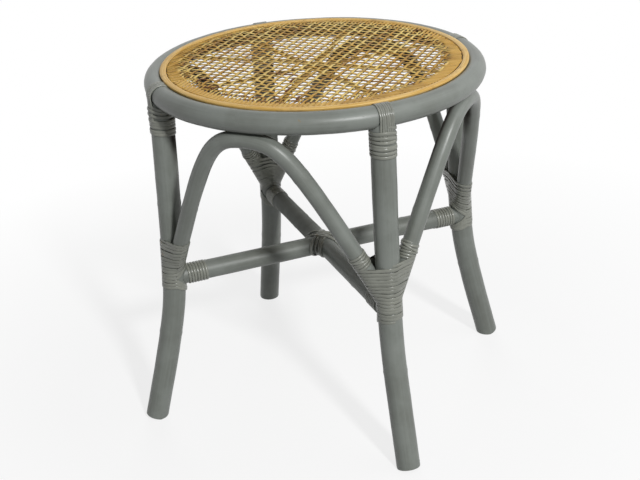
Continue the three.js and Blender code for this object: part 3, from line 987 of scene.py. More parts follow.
@finish_of
def painted_cane():
    """The same paint on strips of cane, warmer, with painted shade and some dirt darkening the seams
    between the turns.
    """
    tint = colours()
    made = Finish("painted cane")
    lie = made.kept("grain")
    tone = made.kept("tone", "Fac")
    here = made.here()
    fibre = made.noise(made.stretched(lie, (1800, 1800, 40)), 1, 3, 0.6)
    cloud = made.noise(here, 30, 4, 0.6)
    along = made.noise(made.stretched(lie, (60, 60, 60)), 1, 3)
    rubbed = made.noise(here, 75, 4, 0.6)
    # noise that breaks the seams' painted shade and dirt into dashes
    soiled = made.noise(made.stretched(here, (70, 70, 160)), 1, 3, 0.6)
    apart = 1 - made.kept("closed", "Fac") * 0.8
    shade = (fibre * 0.35 + cloud * 0.35 + along * 0.3 + tone * 0.16).between(0.34, 0.66)
    base = made.blend(shade, tint.paint_dark, tint.bound_paint)
    base = made.blend(along.between(0.55, 0.75) * 0.6, base, tint.paint_light)
    base = made.blend(rubbed.between(0.68, 0.73) * 0.6, base, tint.bare)
    # painted shade in the seams between turns, partly also dirt, weaker where strips lie closed
    seam_shade_and_dirt = made.kept("edge", "Fac").between(0.84, 0.97) * apart
    base = made.blend(seam_shade_and_dirt * (0.06 + soiled.between(0.57, 0.63) * 0.8), base, tint.depth)
    made.set(Base_Color=base, Roughness=0.16 + cloud * 0.2)
    made.raise_by(fibre * 0.6 + along * 0.4, 0.2 * MM, 0.6)
    return made.material


@finish_of
def natural_cane():
    """Bare cane strands: each has its own tone, with fibres, paler stretches, brown nodes and painted
    shade along their edges.
    """
    tint = colours()
    made = Finish("natural cane")
    lie = made.kept("grain")
    tone = made.kept("tone", "Fac")
    here = made.here()
    closed = made.kept("closed", "Fac")
    fibre = made.noise(made.stretched(lie, (2200, 2200, 70)), 1, 3, 0.65)
    along = made.noise(made.stretched(lie, (40, 40, 28)), 1, 3, 0.6)
    cloud = made.noise(here, 18, 3, 0.6)
    joint = made.noise(made.stretched(lie, (30, 30, 55)), 1, 2)
    stain = made.noise(here, 34, 3, 0.6)
    base = made.blend(tone.between(-1, 0.1), tint.cane_dark, tint.cane)
    base = made.blend((tone * 0.7 + along * 0.5).between(0.3, 0.95), base, tint.cane_light)
    base = made.blend((fibre * 0.5 + cloud * 0.5).between(0.48, 0.68) * 0.6, base, tint.cane_dark)
    base = made.blend(joint.between(0.62, 0.74) * 0.7, base, tint.cane_dark)
    pale = fibre.between(0.3, 0.7) * 0.35 + tone.between(0, 2) * 0.3
    smoothed = made.blend(pale, tint.border, tint.cane_light)
    smoothed = made.blend(cloud.between(0.5, 0.7) * 0.5, smoothed, tint.cane_dark)
    base = made.blend(closed, base, smoothed)
    base = made.blend(stain.between(0.66, 0.72) * 0.7, base, tint.cane_red)
    # painted shade along each strand's edges, weaker in the closed border
    strand_edge_shade = made.kept("edge", "Fac").between(0.5, 0.88)
    base = made.blend(strand_edge_shade * (0.95 - closed * 0.65), base, tint.depth)
    made.set(Base_Color=base, Roughness=0.42 + fibre * 0.2, Specular_IOR_Level=0.25)
    made.raise_by(fibre, 0.25 * MM, 0.7)
    return made.material


def build_bare_pole(made, low, high):
    """Bare cane pole with long fibres, between two colours."""
    tint = colours()
    lie = made.kept("grain")
    here = made.here()
    fibre = made.noise(made.stretched(lie, (1500, 1500, 22)), 1, 4, 0.65)
    bands = made.noise(made.stretched(lie, (60, 60, 40)), 1, 3, 0.6)
    cloud = made.noise(here, 14, 3)
    base = made.blend(fibre.between(0.4, 0.66), low, high)
    base = made.blend(bands.between(0.56, 0.72) * 0.5, base, tint.cane_dark)
    base = made.blend(cloud.between(0.55, 0.8) * 0.6, base, high)
    made.set(Base_Color=base, Roughness=0.4 + fibre * 0.22)
    made.raise_by(fibre, 0.3 * MM, 0.7)


@finish_of
def bead_pole():
    made = Finish("bead pole")
    build_bare_pole(made, colours().cane, colours().bead)
    return made.material


@finish_of
def hoop_pole():
    made = Finish("hoop pole")
    # both colours of the hoop are near black: dark brown cane with painted shade
    build_bare_pole(made, colours().depth, colours().hoop)
    made.set(Specular_IOR_Level=0.1)
    return made.material


@finish_of
def dull_steel():
    """Steel of the nails, with a little tarnish."""
    tint = colours()
    made = Finish("dull steel")
    here = made.here()
    tarnish = made.noise(here, 420, 4, 0.6)
    scratches = made.noise(made.stretched(here, (2600, 300, 2600)), 1, 2)
    base = made.blend(tarnish.between(0.45, 0.7), tint.steel, tint.tarnish)
    metal = 1 - tarnish.between(0.55, 0.75) * 0.5
    made.set(Base_Color=base, Metallic=metal, Roughness=0.3 + tarnish * 0.4)
    made.raise_by(scratches * 0.4 + tarnish * 0.6, 0.1 * MM, 0.6)
    return made.material


@finish_of
def studio_floor():
    """A floor that shows white away from the stool and keeps its shadow near it."""
    made = Finish("studio floor")
    here = made.here()
    mottle = made.noise(here, 3, 3)
    far = made.node("ShaderNodeVectorMath", {"operation": "LENGTH"}, {0: here}, "Value")
    far = far.between(0.35, 0.9)
    seen = made.seen()
    base = made.blend(mottle * 0.1, colours().floor, (0, 0, 0))
    base = made.blend(seen, base, (0.95, 0.95, 0.95))
    made.set(Base_Color=base, Roughness=0.9, Specular_IOR_Level=0.1)
    glow = made.node("ShaderNodeEmission", None, {"Color": (1, 1, 1), "Strength": 1.0})
    share = seen * (1 - (1 - far) * studio().shadow_share)
    made.show(share, Socket(made, made.shader.outputs[0]), glow)
    return made.material


# Operators, one for each piece or group of like pieces
class StoolStep:
    """What the steps share."""

    bl_options = {"REGISTER", "UNDO"}

    def execute(self, context):
        self.make()
        return {"FINISHED"}


class MakeRim(StoolStep, bpy.types.Operator):
    """Bends the thick painted pole round the seat"""

    bl_idname = "stool.make_rim"
    bl_label = "Rim"

    def make(self):
        reach, height = rim_middle()
        rim = ring_pole("rim_pole", reach, height, seat().rim_pole - poles().unevenness / 2)
        hand_over(rim, painted_rim(), "grey_paint", "seat_rim")


class MakeHoop(StoolStep, bpy.types.Operator):
    """Bends the hoop that carries the webbing inside the rim"""

    bl_idname = "stool.make_hoop"
    bl_label = "Hoop"

    def make(self):
        reach, height = beside_rim(seat().hoop_pole, seat().hoop_lean)
        hoop = ring_pole("hoop_pole", reach, height, seat().hoop_pole)
        hand_over(hoop, hoop_pole(), "natural_cane", "seat_hoop")


class MakeBead(StoolStep, bpy.types.Operator):
    """Lays the bead over the edge of the webbing"""

    bl_idname = "stool.make_bead"
    bl_label = "Bead"

    def make(self):
        reach, height = beside_rim(seat().bead_pole, seat().bead_lean)
        bead = ring_pole("bead_pole", reach, height, seat().bead_pole, seat().bead_flatness)
        hand_over(bead, bead_pole(), "natural_cane", "seat_bead")


# Dark lashings on the net: place across and along, way it runs in degrees, length, in mm
TIES = (
    (-98, -116, 80, 15),
    (-96, -113, 10, 12),
    (10, -88, 95, 16),
    (20, -123, 92, 20),
    (43, -146, 100, 14),
    (-66, -138, 85, 18),
    (-75, -140, 12, 13),
    (84, 150, 20, 14),
)


class MakeWebbing(StoolStep, bpy.types.Operator):
    """Weaves the open net and its closed border"""

    bl_idname = "stool.make_webbing"
    bl_label = "Webbing"

    def make(self):
        size = seat()
        bead_reach, _ = beside_rim(size.bead_pole, size.bead_lean)
        _, hoop_height = beside_rim(size.hoop_pole, size.hoop_lean)
        self.edge = bead_reach - size.bead_pole / 2 - size.groove
        self.level = hoop_height + size.hoop_pole / 2 + FIT + size.strand_thickness * 1.05
        self.half = size.pitch / 2
        self.chance = random.Random(7)
        self.strips = Strips(CORD)
        count = int(self.edge / self.half)
        for along in (0, 1):
            for index in range(-count, count + 1):
                self.lay_strand(index, along)
        for x, y, turn, long in TIES:
            self.tie(Vector((x * MM, y * MM, 0)), math.radians(turn), long * MM)
        hand_over(self.strips.piece("woven_seat"), natural_cane(), "natural_cane", "seat_webbing")

    def lay_strand(self, index, along):
        """Every second strand crosses the whole seat; the ones between only meet the edge head on."""
        size = seat()
        offset = index * self.half
        reach = math.sqrt(max(self.edge**2 - offset**2, 0))
        if reach < self.half:
            return
        runs = [(-reach, reach)]
        if index % 2:
            runs = []
            for way in (-1, 1):
                dense = self.border_start(way * reach, offset, along) - size.thickening
                inner = max(math.sqrt(max(dense**2 - offset**2, 0)), 0.8 * abs(offset))
                inner += 2 * MM * self.chance.random()
                if inner < reach - self.half:
                    runs.append(tuple(sorted((way * inner, way * reach))))
        seed = 50 * along + index
        tone = self.chance.choice((-0.5, -0.2, 0.1, 0.3, 0.6, 0.9, 1.2)) + (0.25 if along else -0.15)
        for low, high in runs:
            steps = max(2, round((high - low) / (self.half / 2)))
            stops, closed = [], []
            for step in range(steps + 1):
                place = low + (high - low) * step / steps
                stops.append(self.stop(place, offset, index, along, seed))
                closed.append(self.in_border(place, offset, along))
            self.strips.lay(stops, tone, closed)

    def stop(self, place, offset, index, along, seed):
        """A point of a strand: it weaves over and under in the net and lies flat in the border."""
        size = seat()
        head_on = slope(abs(place), 0.7 * abs(offset), 6 * MM)
        dense = slope(self.past_start(place, offset, along), -size.thickening, 4 * MM) * head_on
        closed = self.in_border(place, offset, along)
        lift = math.cos(math.pi * (index + index % 2 + place / self.half) / 2) * 0.5
        lift = -lift + 0.1 if along else lift - 0.1
        flat = 0.3 if abs(place) > abs(offset) else -0.5
        lift = (lift + (flat - lift) * closed) * size.strand_thickness
        side = offset + 0.5 * MM * wobble(place * 22, seed) * (1 - closed)
        height = self.level + lift
        point = Vector((side, place, height)) if along else Vector((place, side, height))
        width = size.strand_width * (1 + 0.1 * wobble(place * 40, seed + 0.5))
        width += (size.ring_width - width) * dense
        width += (self.half + 0.5 * MM - self.slack(point) * size.slack - width) * closed * head_on
        return point, UP, width, size.strand_thickness

    def border_start(self, place, offset, along):
        """How far from the middle the closed border starts on the side where a place lies."""
        x, y = (offset, place) if along else (place, offset)
        eighth = math.atan2(y, x) / (QUARTER / 2) % 8
        before, share = int(eighth) % 8, eighth % 1
        widths = seat().borders
        return self.edge - widths[before] * (1 - share) - widths[(before + 1) % 8] * share

    def slack(self, point):
        """1 where the border's strands lie apart, towards the back, and 0 at the front."""
        back = outward(CORNER_ANGLES[2]).xy
        return min(max(0.5 + 1.3 * point.xy.normalized().dot(back), 0), 1)

    def past_start(self, place, offset, along):
        """How far a place lies beyond the closed border's start."""
        return math.hypot(place, offset) - self.border_start(place, offset, along)

    def in_border(self, place, offset, along):
        """0 in the net, 1 in the closed border."""
        return slope(self.past_start(place, offset, along), -1.5 * MM, 3 * MM)

    def tie(self, middle, turn, long):
        """Lays a dark lashing over the net."""
        size = seat()
        stops = []
        for step in range(13):
            share = step / 6 - 1
            point = middle + outward(turn) * long * share / 2
            point.z = self.level + size.strand_thickness * (1.5 - 1.7 * share**4)
            stops.append((point, UP, size.tie_width, size.strand_thickness))
        self.strips.lay(stops, -1.3)


class MakeSupports(StoolStep, bpy.types.Operator):
    """Lays the flat strips that cross under the webbing and end in the hoop"""

    bl_idname = "stool.make_supports"
    bl_label = "Supports under the webbing"

    def make(self):
        size = seat()
        hoop_reach, hoop_height = beside_rim(size.hoop_pole, size.hoop_lean)
        reach = hoop_reach - size.hoop_pole / 2 + size.support_tenon
        count = len(size.support_angles)
        for index, angle in enumerate(size.support_angles):
            height = hoop_height + ((count - 1) / 2 - index) * (size.support_thickness + FIT)
            strip = new_primitive(
                f"support_strip_{index + 1}",
                bpy.ops.mesh.primitive_cube_add,
                size=1,
                scale=(2 * reach, size.support_width, size.support_thickness),
                location=(0, 0, height),
            )
            with editing(strip, "EDGE") as mesh:
                choose(mesh, mesh.edges, longer_than(reach, "x"))
                bpy.ops.mesh.bevel(offset=size.support_thickness * 0.35, segments=3, affect="EDGES")
            with editing(strip, "EDGE") as mesh:
                choose(mesh, mesh.edges, longer_than(reach, "x"))
                bpy.ops.mesh.subdivide(number_cuts=90)
            self.fray(strip, index)
            store_grain(strip, lambda place: (place.y, place.z - height, place.x + index))
            store(strip, "tone", "FLOAT", [0.3] * len(strip.data.vertices))
            smooth(strip)
            finished = turned_copy(strip, strip.name + "_laid", angle)
            remove(strip)
            hand_over(finished, natural_cane(), "natural_cane", f"seat_support_{index + 1}")

    def fray(self, strip, index):
        """Narrows and widens the strip a little along its way, as split cane is."""
        with editing(strip) as mesh:
            stretch = 11 * MM
            for place in range(-15, 16):
                low = place * stretch
                choose(mesh, mesh.verts, lambda vert: low <= vert.co.x < low + stretch)
                broad = 1 + 0.12 * wobble(place * 0.7, 80 + index)
                bpy.ops.transform.resize(
                    value=(1, broad, 1), center_override=(0, 0, 0), orient_type="GLOBAL"
                )


class MakeLegs(StoolStep, bpy.types.Operator):
    """Bends one leg, cuts its foot and saddle, and copies it to the four corners"""

    bl_idname = "stool.make_legs"
    bl_label = "Legs"

    def make(self):
        size = poles()
        rim_reach, rim_height = rim_middle()
        line = leg_line(-size.leg_pole, rim_height)
        leg = bent_pole("leg_model", line, size.leg_pole, (0.33, 0.71))
        slice_off(leg, (0, 0, 0), (0, 0, -1))
        self.wear_foot(leg)
        rim_room = new_primitive(
            "rim_room",
            bpy.ops.mesh.primitive_torus_add,
            major_segments=192,
            minor_segments=32,
            major_radius=rim_reach,
            minor_radius=seat().rim_pole / 2 + FIT,
            location=(0, 0, rim_height),
        )
        carve(leg, rim_room)
        mark_grain(leg, line, shade_under_seat)
        smooth(leg)
        for corner, angle in zip(CORNERS, CORNER_ANGLES):
            copy = turned_copy(leg, f"leg_pole_{corner}", angle)
            hand_over(copy, painted_pole(), "grey_paint", f"leg_{corner}")
        remove(leg)

    def wear_foot(self, leg):
        """Rounds the cut of the foot, most of all at its outer edge."""
        size = poles()
        foot = leg_point(0, 0)
        worn = foot + Vector((size.leg_pole / 2, 0, size.foot_wear))
        bottom = Vector((foot.x - size.leg_pole * 0.05, 0, 0))
        across = worn - bottom
        slice_off(leg, bottom, Vector((across.z, 0, -across.x)).normalized())
        with editing(leg, "EDGE") as mesh:
            choose(mesh, mesh.edges, self.on_cut)
            bpy.ops.mesh.bevel(offset=0.9 * MM, segments=3, affect="EDGES")

    def on_cut(self, edge):
        """Whether an edge lies round the foot's cut."""
        sharp = len(edge.link_faces) == 2 and edge.calc_face_angle(0) > 0.5
        return sharp and all(vert.co.z < poles().foot_wear * 1.6 for vert in edge.verts)


class MakeArches(StoolStep, bpy.types.Operator):
    """Bends the four arches, each a little different, and copes their ends to the legs"""

    bl_idname = "stool.make_arches"
    bl_label = "Arches"

    def make(self):
        size = poles()
        for index, corner in enumerate(CORNERS):
            after = CORNERS[(index + 1) % 4]
            line = arch_line(index)
            arch = bent_pole(f"arch_pole_{corner}_{after}", line, size.arch_pole, (0.22, 0.64))
            for angle in (CORNER_ANGLES[index], CORNER_ANGLES[(index + 1) % 4]):
                carve(arch, leg_room(angle))
            mark_grain(arch, line, shade_under_seat)
            smooth(arch)
            hand_over(arch, painted_pole(), "grey_paint", f"arch_{corner}_{after}")


def leg_room(angle):
    """The room that a leg takes up between the poles that meet it."""
    size = poles()
    line = leg_line(size.stretcher_height - 60 * MM, size.stretcher_height + 160 * MM, 12)
    turn = Matrix.Rotation(angle, 3, "Z")
    line = [turn @ point for point in line]
    return bent_cylinder("leg_room", line, size.leg_pole + 2 * FIT, 24)


class MakeStretchers(StoolStep, bpy.types.Operator):
    """Cuts the two straight poles that cross between the legs"""

    bl_idname = "stool.make_stretchers"
    bl_label = "Stretchers"

    def make(self):
        size = poles()
        rows = (("left_right", CORNER_ANGLES[1], 1), ("front_back", CORNER_ANGLES[0], -1))
        for name, angle, halved in rows:
            end = leg_point(angle, size.stretcher_height)
            start = leg_point(angle + math.pi, size.stretcher_height)
            line = [start.lerp(end, step / 60) for step in range(61)]
            pole = bent_pole(f"stretcher_pole_{name}", line, size.stretcher_pole, (0.3, 0.78))
            carve(pole, leg_room(angle))
            carve(pole, leg_room(angle + math.pi))
            lap = new_primitive(
                "lap",
                bpy.ops.mesh.primitive_cube_add,
                size=size.stretcher_pole + 4 * FIT,
                location=(0, 0, size.stretcher_height + halved * (size.stretcher_pole / 2 + FIT)),
                rotation=(0, 0, angle),
            )
            carve(pole, lap)
            mark_grain(pole, line, scuff_and_far_shade)
            smooth(pole)
            hand_over(pole, painted_pole(), "grey_paint", f"stretcher_{name}")


class MakeStraps(StoolStep, bpy.types.Operator):
    """Lays the strips side by side over the rim at each leg"""

    bl_idname = "stool.make_straps"
    bl_label = "Straps"

    def make(self):
        for index, (corner, angle) in enumerate(zip(CORNERS, CORNER_ANGLES)):
            chance = random.Random(31 + index)
            strips = Strips(FLAT)
            count = cane().strap_strips
            step = cane().strap_width / count
            turn = Matrix.Rotation(angle, 3, "Z")
            for strip in range(count):
                side = (strip - (count - 1) / 2) * step + 0.15 * MM * chance.uniform(-1, 1)
                lift = 0.12 * MM * chance.random()
                stops = []
                for point, out in self.route(side, lift):
                    stops.append((turn @ point, turn @ out, step * 0.98, cane().strip_thickness))
                strips.lay(stops, chance.random(), [1] * len(stops))
            strips.bind(f"strap_{corner}", f"rim_strap_{corner}")

    def route(self, side, lift):
        """Up the outside of the leg, over the rim and down the inside, for the leg at angle zero."""
        reach, height = rim_middle()
        leg = poles().leg_pole / 2 + lift
        rim = seat().rim_pole / 2 + lift
        under = height - seat().rim_pole / 2
        tail = under - cane().strap_tail - lift * 8
        levels = [tail + (under + 1 * MM - tail) * step / 6 for step in range(7)]
        stops = []
        for level in levels:
            stops.append((self.on_leg(level, side, leg, 1), outward(side / leg)))
        for step in range(25):
            angle = math.pi * step / 24
            out = Vector((math.cos(angle), 0, math.sin(angle)))
            sag = 0.9 * MM * max(0.0, math.cos(angle) ** 3)
            point = Vector((reach + out.x * (rim + sag), side, height + out.z * rim))
            stops.append((point, out))
        for level in reversed(levels):
            stops.append((self.on_leg(level, side, leg, -1), outward(math.pi - side / leg)))
        return stops

    def on_leg(self, level, side, radius, way):
        """A point on the leg's outer side, way 1, or its inner side, way -1."""
        angle = side / radius
        reach = leg_reach(level) + way * radius * math.cos(angle)
        return Vector((reach, radius * math.sin(angle), level))


class MakeTopBindings(StoolStep, bpy.types.Operator):
    """Winds cane round the top of each leg, over the tails of the straps"""

    bl_idname = "stool.make_top_bindings"
    bl_label = "Leg top bindings"

    def make(self):
        size = cane()
        start = rim_middle()[1] - seat().rim_pole / 2 - size.strip_width * 0.3
        pull, pulled_turns = 5 * MM, 3
        for index, (corner, angle) in enumerate(zip(CORNERS, CORNER_ANGLES)):

            def stop_at(turn, angle=angle, index=index):
                over = math.cos(2 * math.pi * turn) ** 2
                height = start - size.top_pitch * turn + 1.6 * MM * wobble(turn * 1.1, index)
                height += over * pull * max(0.0, 1 - turn / pulled_turns)
                hangs = slope(height - start + size.strap_tail, -3.6 * MM, 6 * MM)
                radius = poles().leg_pole / 2 + 0.1 * MM + over * hangs * size.strip_thickness
                radius += 0.35 * MM * max(0.0, wobble(turn * 1.1, index + 0.5))
                out = outward(angle + 2 * math.pi * turn)
                return leg_point(angle, height) + out * radius, out

            strips = Strips()
            strips.lay(wind(size.top_turns, stop_at, index + 1), 0.5)
            strips.bind(f"top_binding_{corner}", f"leg_top_binding_{corner}")


# Gaps after each turn from the top down, as shares of the widest gap, for each joint
JOINT_GAPS = (
    (0.1, 0.6, 0.1, 0.1, 0.1, 0.6, 0.1, 0.6, 0.6, 0.5, 0.3, 0.3, 0.2),
    (0.1, 0.9, 1.0, 0.2, 0.8, 0.7, 0.1, 0.8, 0.1, 0.7, 0.1, 0.2, 0.4),
    (1.0, 1.1, 1.1, 0.3, 0.1, 0.1, 0.5, 0.1, 0.2, 0.1, 0.6, 0.1, 0.1),
    (0.1, 0.3, 0.9, 0.2, 0.8, 0.1, 0.1, 0.6, 0.1, 0.3, 0.1, 0.2, 0.1),
)


class MakeJointBindings(StoolStep, bpy.types.Operator):
    """Winds cane round each leg and its two arch ends, parting the turns round the stretcher"""

    bl_idname = "stool.make_joint_bindings"
    bl_label = "Joint bindings"

    def make(self):
        for index, corner in enumerate(CORNERS):
            self.bundle = Bundle(index)
            self.seed = 11 + index
            self.heights = self.spaced(index)
            strips = Strips(FLAT)
            strips.lay(wind(len(self.heights) - 1, self.stop_at, self.seed, steps=40), 0.5)
            strips.bind(f"joint_binding_cane_{corner}", f"joint_binding_{corner}")

    def spaced(self, index):
        """The heights of the turns on the outer side: most touch, some leave a gap."""
        size = cane()
        chance = random.Random(5 + index)
        gaps = JOINT_GAPS[index]
        height = poles().stretcher_height + size.joint_rises[index]
        heights = [height]
        while height > poles().stretcher_height - size.joint_drop:
            wide = gaps[len(heights) - 1] if len(heights) <= len(gaps) else 0.1
            height -= size.strip_width * (0.98 + 0.03 * chance.random()) + wide**2 * size.gap
            heights.append(height)
        return heights

    def stop_at(self, turn):
        """The strip's place: on the inner side each turn parts to pass over or under the stretcher."""
        stretcher = poles().stretcher_height
        room = poles().stretcher_pole / 2 + cane().strip_width / 2 + 2 * FIT
        whole = min(int(turn), len(self.heights) - 2)
        share = turn - whole
        settled = slope(share, 0.35, 0.3)
        outside = self.heights[whole] + (self.heights[whole + 1] - self.heights[whole]) * settled
        top, bottom = self.heights[0], self.heights[-1]
        above = (outside - stretcher) / (top - stretcher)
        parted = 0.04
        if above > parted:
            highest = top + 5 * MM - stretcher - room
            inside = stretcher + room + highest * (above - parted) / (1 - parted)
        else:
            inside = stretcher - room - 0.35 * max(0.0, stretcher - outside)
        inward = max(0.0, -math.cos(2 * math.pi * turn))
        height = outside + (inside - outside) * inward
        height += 0.25 * MM * wobble(turn * 1.9, self.seed)
        height += 0.4 * MM * wobble(turn * 7.3, self.seed + 0.5)
        under = max(0.0, (stretcher - outside) / (stretcher - bottom)) * inward
        return self.bundle.stop(height, 2 * math.pi * turn, 0.2 * MM + under * cane().strip_thickness)


class MakeArchEndBindings(StoolStep, bpy.types.Operator):
    """Winds cane round the arches just above the front and back joints"""

    bl_idname = "stool.make_arch_end_bindings"
    bl_label = "Arch end bindings"

    def make(self):
        for index, corner in enumerate(CORNERS):
            after = CORNERS[(index + 1) % 4]
            bound, far = (corner, after) if corner in ARCH_ENDS_BOUND else (after, corner)
            line = arch_line(index) if bound == corner else arch_line(index)[::-1]
            strips = Strips()
            size = cane()
            joint = CORNERS.index(bound)
            turns = size.back_arch_turns if bound == "back" else size.front_arch_turns
            stop_at = self.round(line, index, joint)
            strips.lay(wind(turns, stop_at, 21 + index, width=size.fine_width), 0.5)
            stop_at = self.round(line, index, joint, turns)
            strips.lay(wind(size.return_turns, stop_at, 25 + index, width=size.fine_width * 0.8), 0.8)
            strips.bind(f"arch_end_cane_{bound}_to_{far}", f"arch_end_binding_{bound}_to_{far}")

    def round(self, line, seed, joint, back=0):
        """Winds up the arch, or if it goes back over that many turns, down again over them."""
        size = cane()
        start = poles().stretcher_height + size.joint_rises[joint] - size.arch_end_drop
        first = next(spot for spot, point in enumerate(line) if point.z > start)
        run = run_of(line)

        def stop_at(turn):
            climb = back * (1 - turn / size.return_turns) if back else turn
            along = run[first] + climb * size.fine_width * 1.1 + 0.4 * MM * wobble(turn * 1.3, seed)
            spot = next(i for i, place in enumerate(run) if place > along)
            share = (along - run[spot - 1]) / (run[spot] - run[spot - 1])
            centre = line[spot - 1].lerp(line[spot], share)
            way = (line[spot + 1] - line[spot - 2]).normalized()
            level = UP.cross(way).normalized()
            radius = poles().arch_pole / 2 + (0.9 if back else 0.15) * MM
            return ring_stop(centre, way, level, radius, 2 * math.pi * turn + seed)

        return stop_at


class MakeStretcherEndBindings(StoolStep, bpy.types.Operator):
    """Winds cane round each stretcher beside its leg"""

    bl_idname = "stool.make_stretcher_end_bindings"
    bl_label = "Stretcher end bindings"

    def make(self):
        size = cane()
        height = poles().stretcher_height
        start = leg_reach(height) - poles().leg_pole / 2 - size.fine_width * 0.1
        for index, (corner, angle) in enumerate(zip(CORNERS, CORNER_ANGLES)):

            def stop_at(turn, angle=angle, index=index):
                reach = start - turn * size.fine_width * 1.12 - 0.3 * MM * wobble(turn * 1.3, index)
                centre = outward(angle) * reach + UP * height
                radius = poles().stretcher_pole / 2 + 0.15 * MM
                return ring_stop(centre, -outward(angle), UP, radius, 2 * math.pi * turn + index)

            strips = Strips()
            turns = size.stretcher_end_turns
            strips.lay(wind(turns, stop_at, 41 + index, width=size.fine_width), 0.5)
            strips.bind(f"stretcher_end_cane_{corner}", f"stretcher_end_binding_{corner}")


class MakeCrossBinding(StoolStep, bpy.types.Operator):
    """Winds cane both ways over the crossing of the stretchers"""

    bl_idname = "stool.make_cross_binding"
    bl_label = "Crossing binding"

    def make(self):
        strips = Strips()
        turns = cane().cross_turns
        for layer, along in enumerate((QUARTER, 0.0)):
            strips.lay(wind(turns, self.round(along, layer, turns), 61 + layer), 0.3 + 0.4 * layer)
        strips.bind("crossing_cane", "cross_binding")

    def round(self, along, layer, turns):
        """Winds over the crossing, slanting from one side of a stretcher to the other."""
        radius = poles().stretcher_pole / 2 + 0.2 * MM

        def stop_at(turn):
            angle = 2 * math.pi * (turn + 0.06)
            shift = cane().strip_width * 1.05 * (turn - turns / 2)
            lift = layer * cane().strip_thickness * (0.3 + 0.7 * abs(math.sin(angle)))
            long = radius * math.sqrt(2) + lift + cane().strip_width * 0.5
            reach = math.copysign(abs(shift), math.cos(angle)) * min(1.0, abs(math.cos(angle)) * 6)
            reach += long * math.cos(angle)
            point = Vector((0, 0, poles().stretcher_height + (radius + lift) * math.sin(angle)))
            point += outward(along) * reach + outward(along - QUARTER) * shift
            return point, (outward(along) * math.cos(angle) + UP * math.sin(angle)).normalized()

        return stop_at


class MakeFasteners(StoolStep, bpy.types.Operator):
    """Turns the screws, nails and brads and sets them where the frame has them"""

    bl_idname = "stool.make_fasteners"
    bl_label = "Screws and nails"

    def make(self):
        size = poles()
        sizes = fasteners()
        recess = sizes.recess
        nail = (sizes.nail_shank, sizes.nail_head)
        models = {
            "leg_screw": self.model("screw", sizes.screw_shank, sizes.screw_head, sizes.screw_length),
            "arch_nail": self.model("nail", *nail, sizes.arch_nail),
            "stretcher_nail": self.model("long nail", *nail, sizes.stretcher_nail),
            "hoop_brad": self.model("brad", *nail, sizes.brad),
            "cross_nail": self.model("cross nail", *nail, size.stretcher_pole - sizes.cross_cover),
        }
        rim_reach, _ = rim_middle()
        hoop_reach, hoop_height = beside_rim(seat().hoop_pole, seat().hoop_lean)
        brad_way = Vector((math.sin(seat().hoop_lean), 0, -math.cos(seat().hoop_lean)))
        apex_reach, apex = arch_apex()
        side = leg_point(0, size.stretcher_height)
        top = size.stretcher_height + size.stretcher_pole / 2
        # Where each kind starts and which way it runs, for the leg or the arch at angle zero
        driven = {
            "leg_screw": (Vector((rim_reach - size.leg_inset, 0, seat().top_height - recess)), DOWN),
            "stretcher_nail": (side + outward(0) * (size.leg_pole / 2 - recess), -outward(0)),
            "arch_nail": (Vector((apex_reach, 0, apex - size.arch_pole / 2 + recess)), UP),
            "hoop_brad": (
                Vector((hoop_reach, 0, hoop_height)) + brad_way * (recess - seat().hoop_pole / 2),
                brad_way,
            ),
            "cross_nail": (UP * (top - recess), DOWN),
        }
        for index, corner in enumerate(CORNERS):
            pair = f"{corner}_{CORNERS[(index + 1) % 4]}"
            middle = QUARTER * index
            rows = (
                ("leg_screw", corner, CORNER_ANGLES[index]),
                ("stretcher_nail", corner, CORNER_ANGLES[index]),
                ("arch_nail", pair, middle),
                ("hoop_brad", pair, middle + QUARTER / 4),
            )
            for kind, whose, angle in rows:
                self.drive(models[kind], kind, "_" + whose, angle, *driven[kind])
        self.drive(models["cross_nail"], "cross_nail", "", 0, *driven["cross_nail"])
        for model in models.values():
            remove(model)

    def model(self, name, shank, head, long):
        """A fastener that points down from a slightly domed head at the origin."""
        thick, tip = fasteners().head_thickness, fasteners().tip
        made = new_primitive(
            name,
            bpy.ops.mesh.primitive_cylinder_add,
            vertices=20,
            radius=head / 2,
            depth=thick,
            location=(0, 0, -thick / 2),
        )
        with editing(made, "FACE") as mesh:
            choose(mesh, mesh.faces, lambda face: face.normal.z < -0.9)
            bpy.ops.mesh.inset(thickness=(head - shank) / 2)
            for depth in (long - thick - tip, tip):
                bpy.ops.mesh.extrude_region_move(TRANSFORM_OT_translate={"value": (0, 0, -depth)})
            bpy.ops.transform.resize(value=(0.12, 0.12, 1), center_override=(0, 0, -long))
        with editing(made, "EDGE") as mesh:
            rim = [vert for vert in mesh.verts if vert.co.z > -FIT and vert.co.xy.length > head / 2.1]
            choose(mesh, mesh.edges, lambda edge: all(vert in rim for vert in edge.verts))
            bpy.ops.mesh.bevel(offset=0.35 * MM, segments=2, affect="EDGES")
        smooth(made)
        return made

    def drive(self, model, kind, whose, angle, start, way):
        """Sets a copy of a fastener in its hole, turned from the plane at angle zero."""
        only(model)
        bpy.ops.object.duplicate()
        piece = bpy.context.object
        piece.name = f"{kind}_steel{whose}"
        turn = DOWN.rotation_difference(way).to_matrix().to_4x4()
        piece.matrix_world = Matrix.Rotation(angle, 4, "Z") @ Matrix.Translation(start) @ turn
        bpy.ops.object.transform_apply(location=True, rotation=True, scale=True)
        hand_over(piece, dull_steel(), "steel", kind + whose)


# Each lamp's name, azimuth and height in degrees, distance and size in metres, and if gloss shows it
LAMPS = (
    ("key", -41, 33, 5.0, 0.52, True),
    ("side", 15, 45, 0.9, 0.8, True),
    ("back", 118, 25, 4.0, 2.5, False),
)


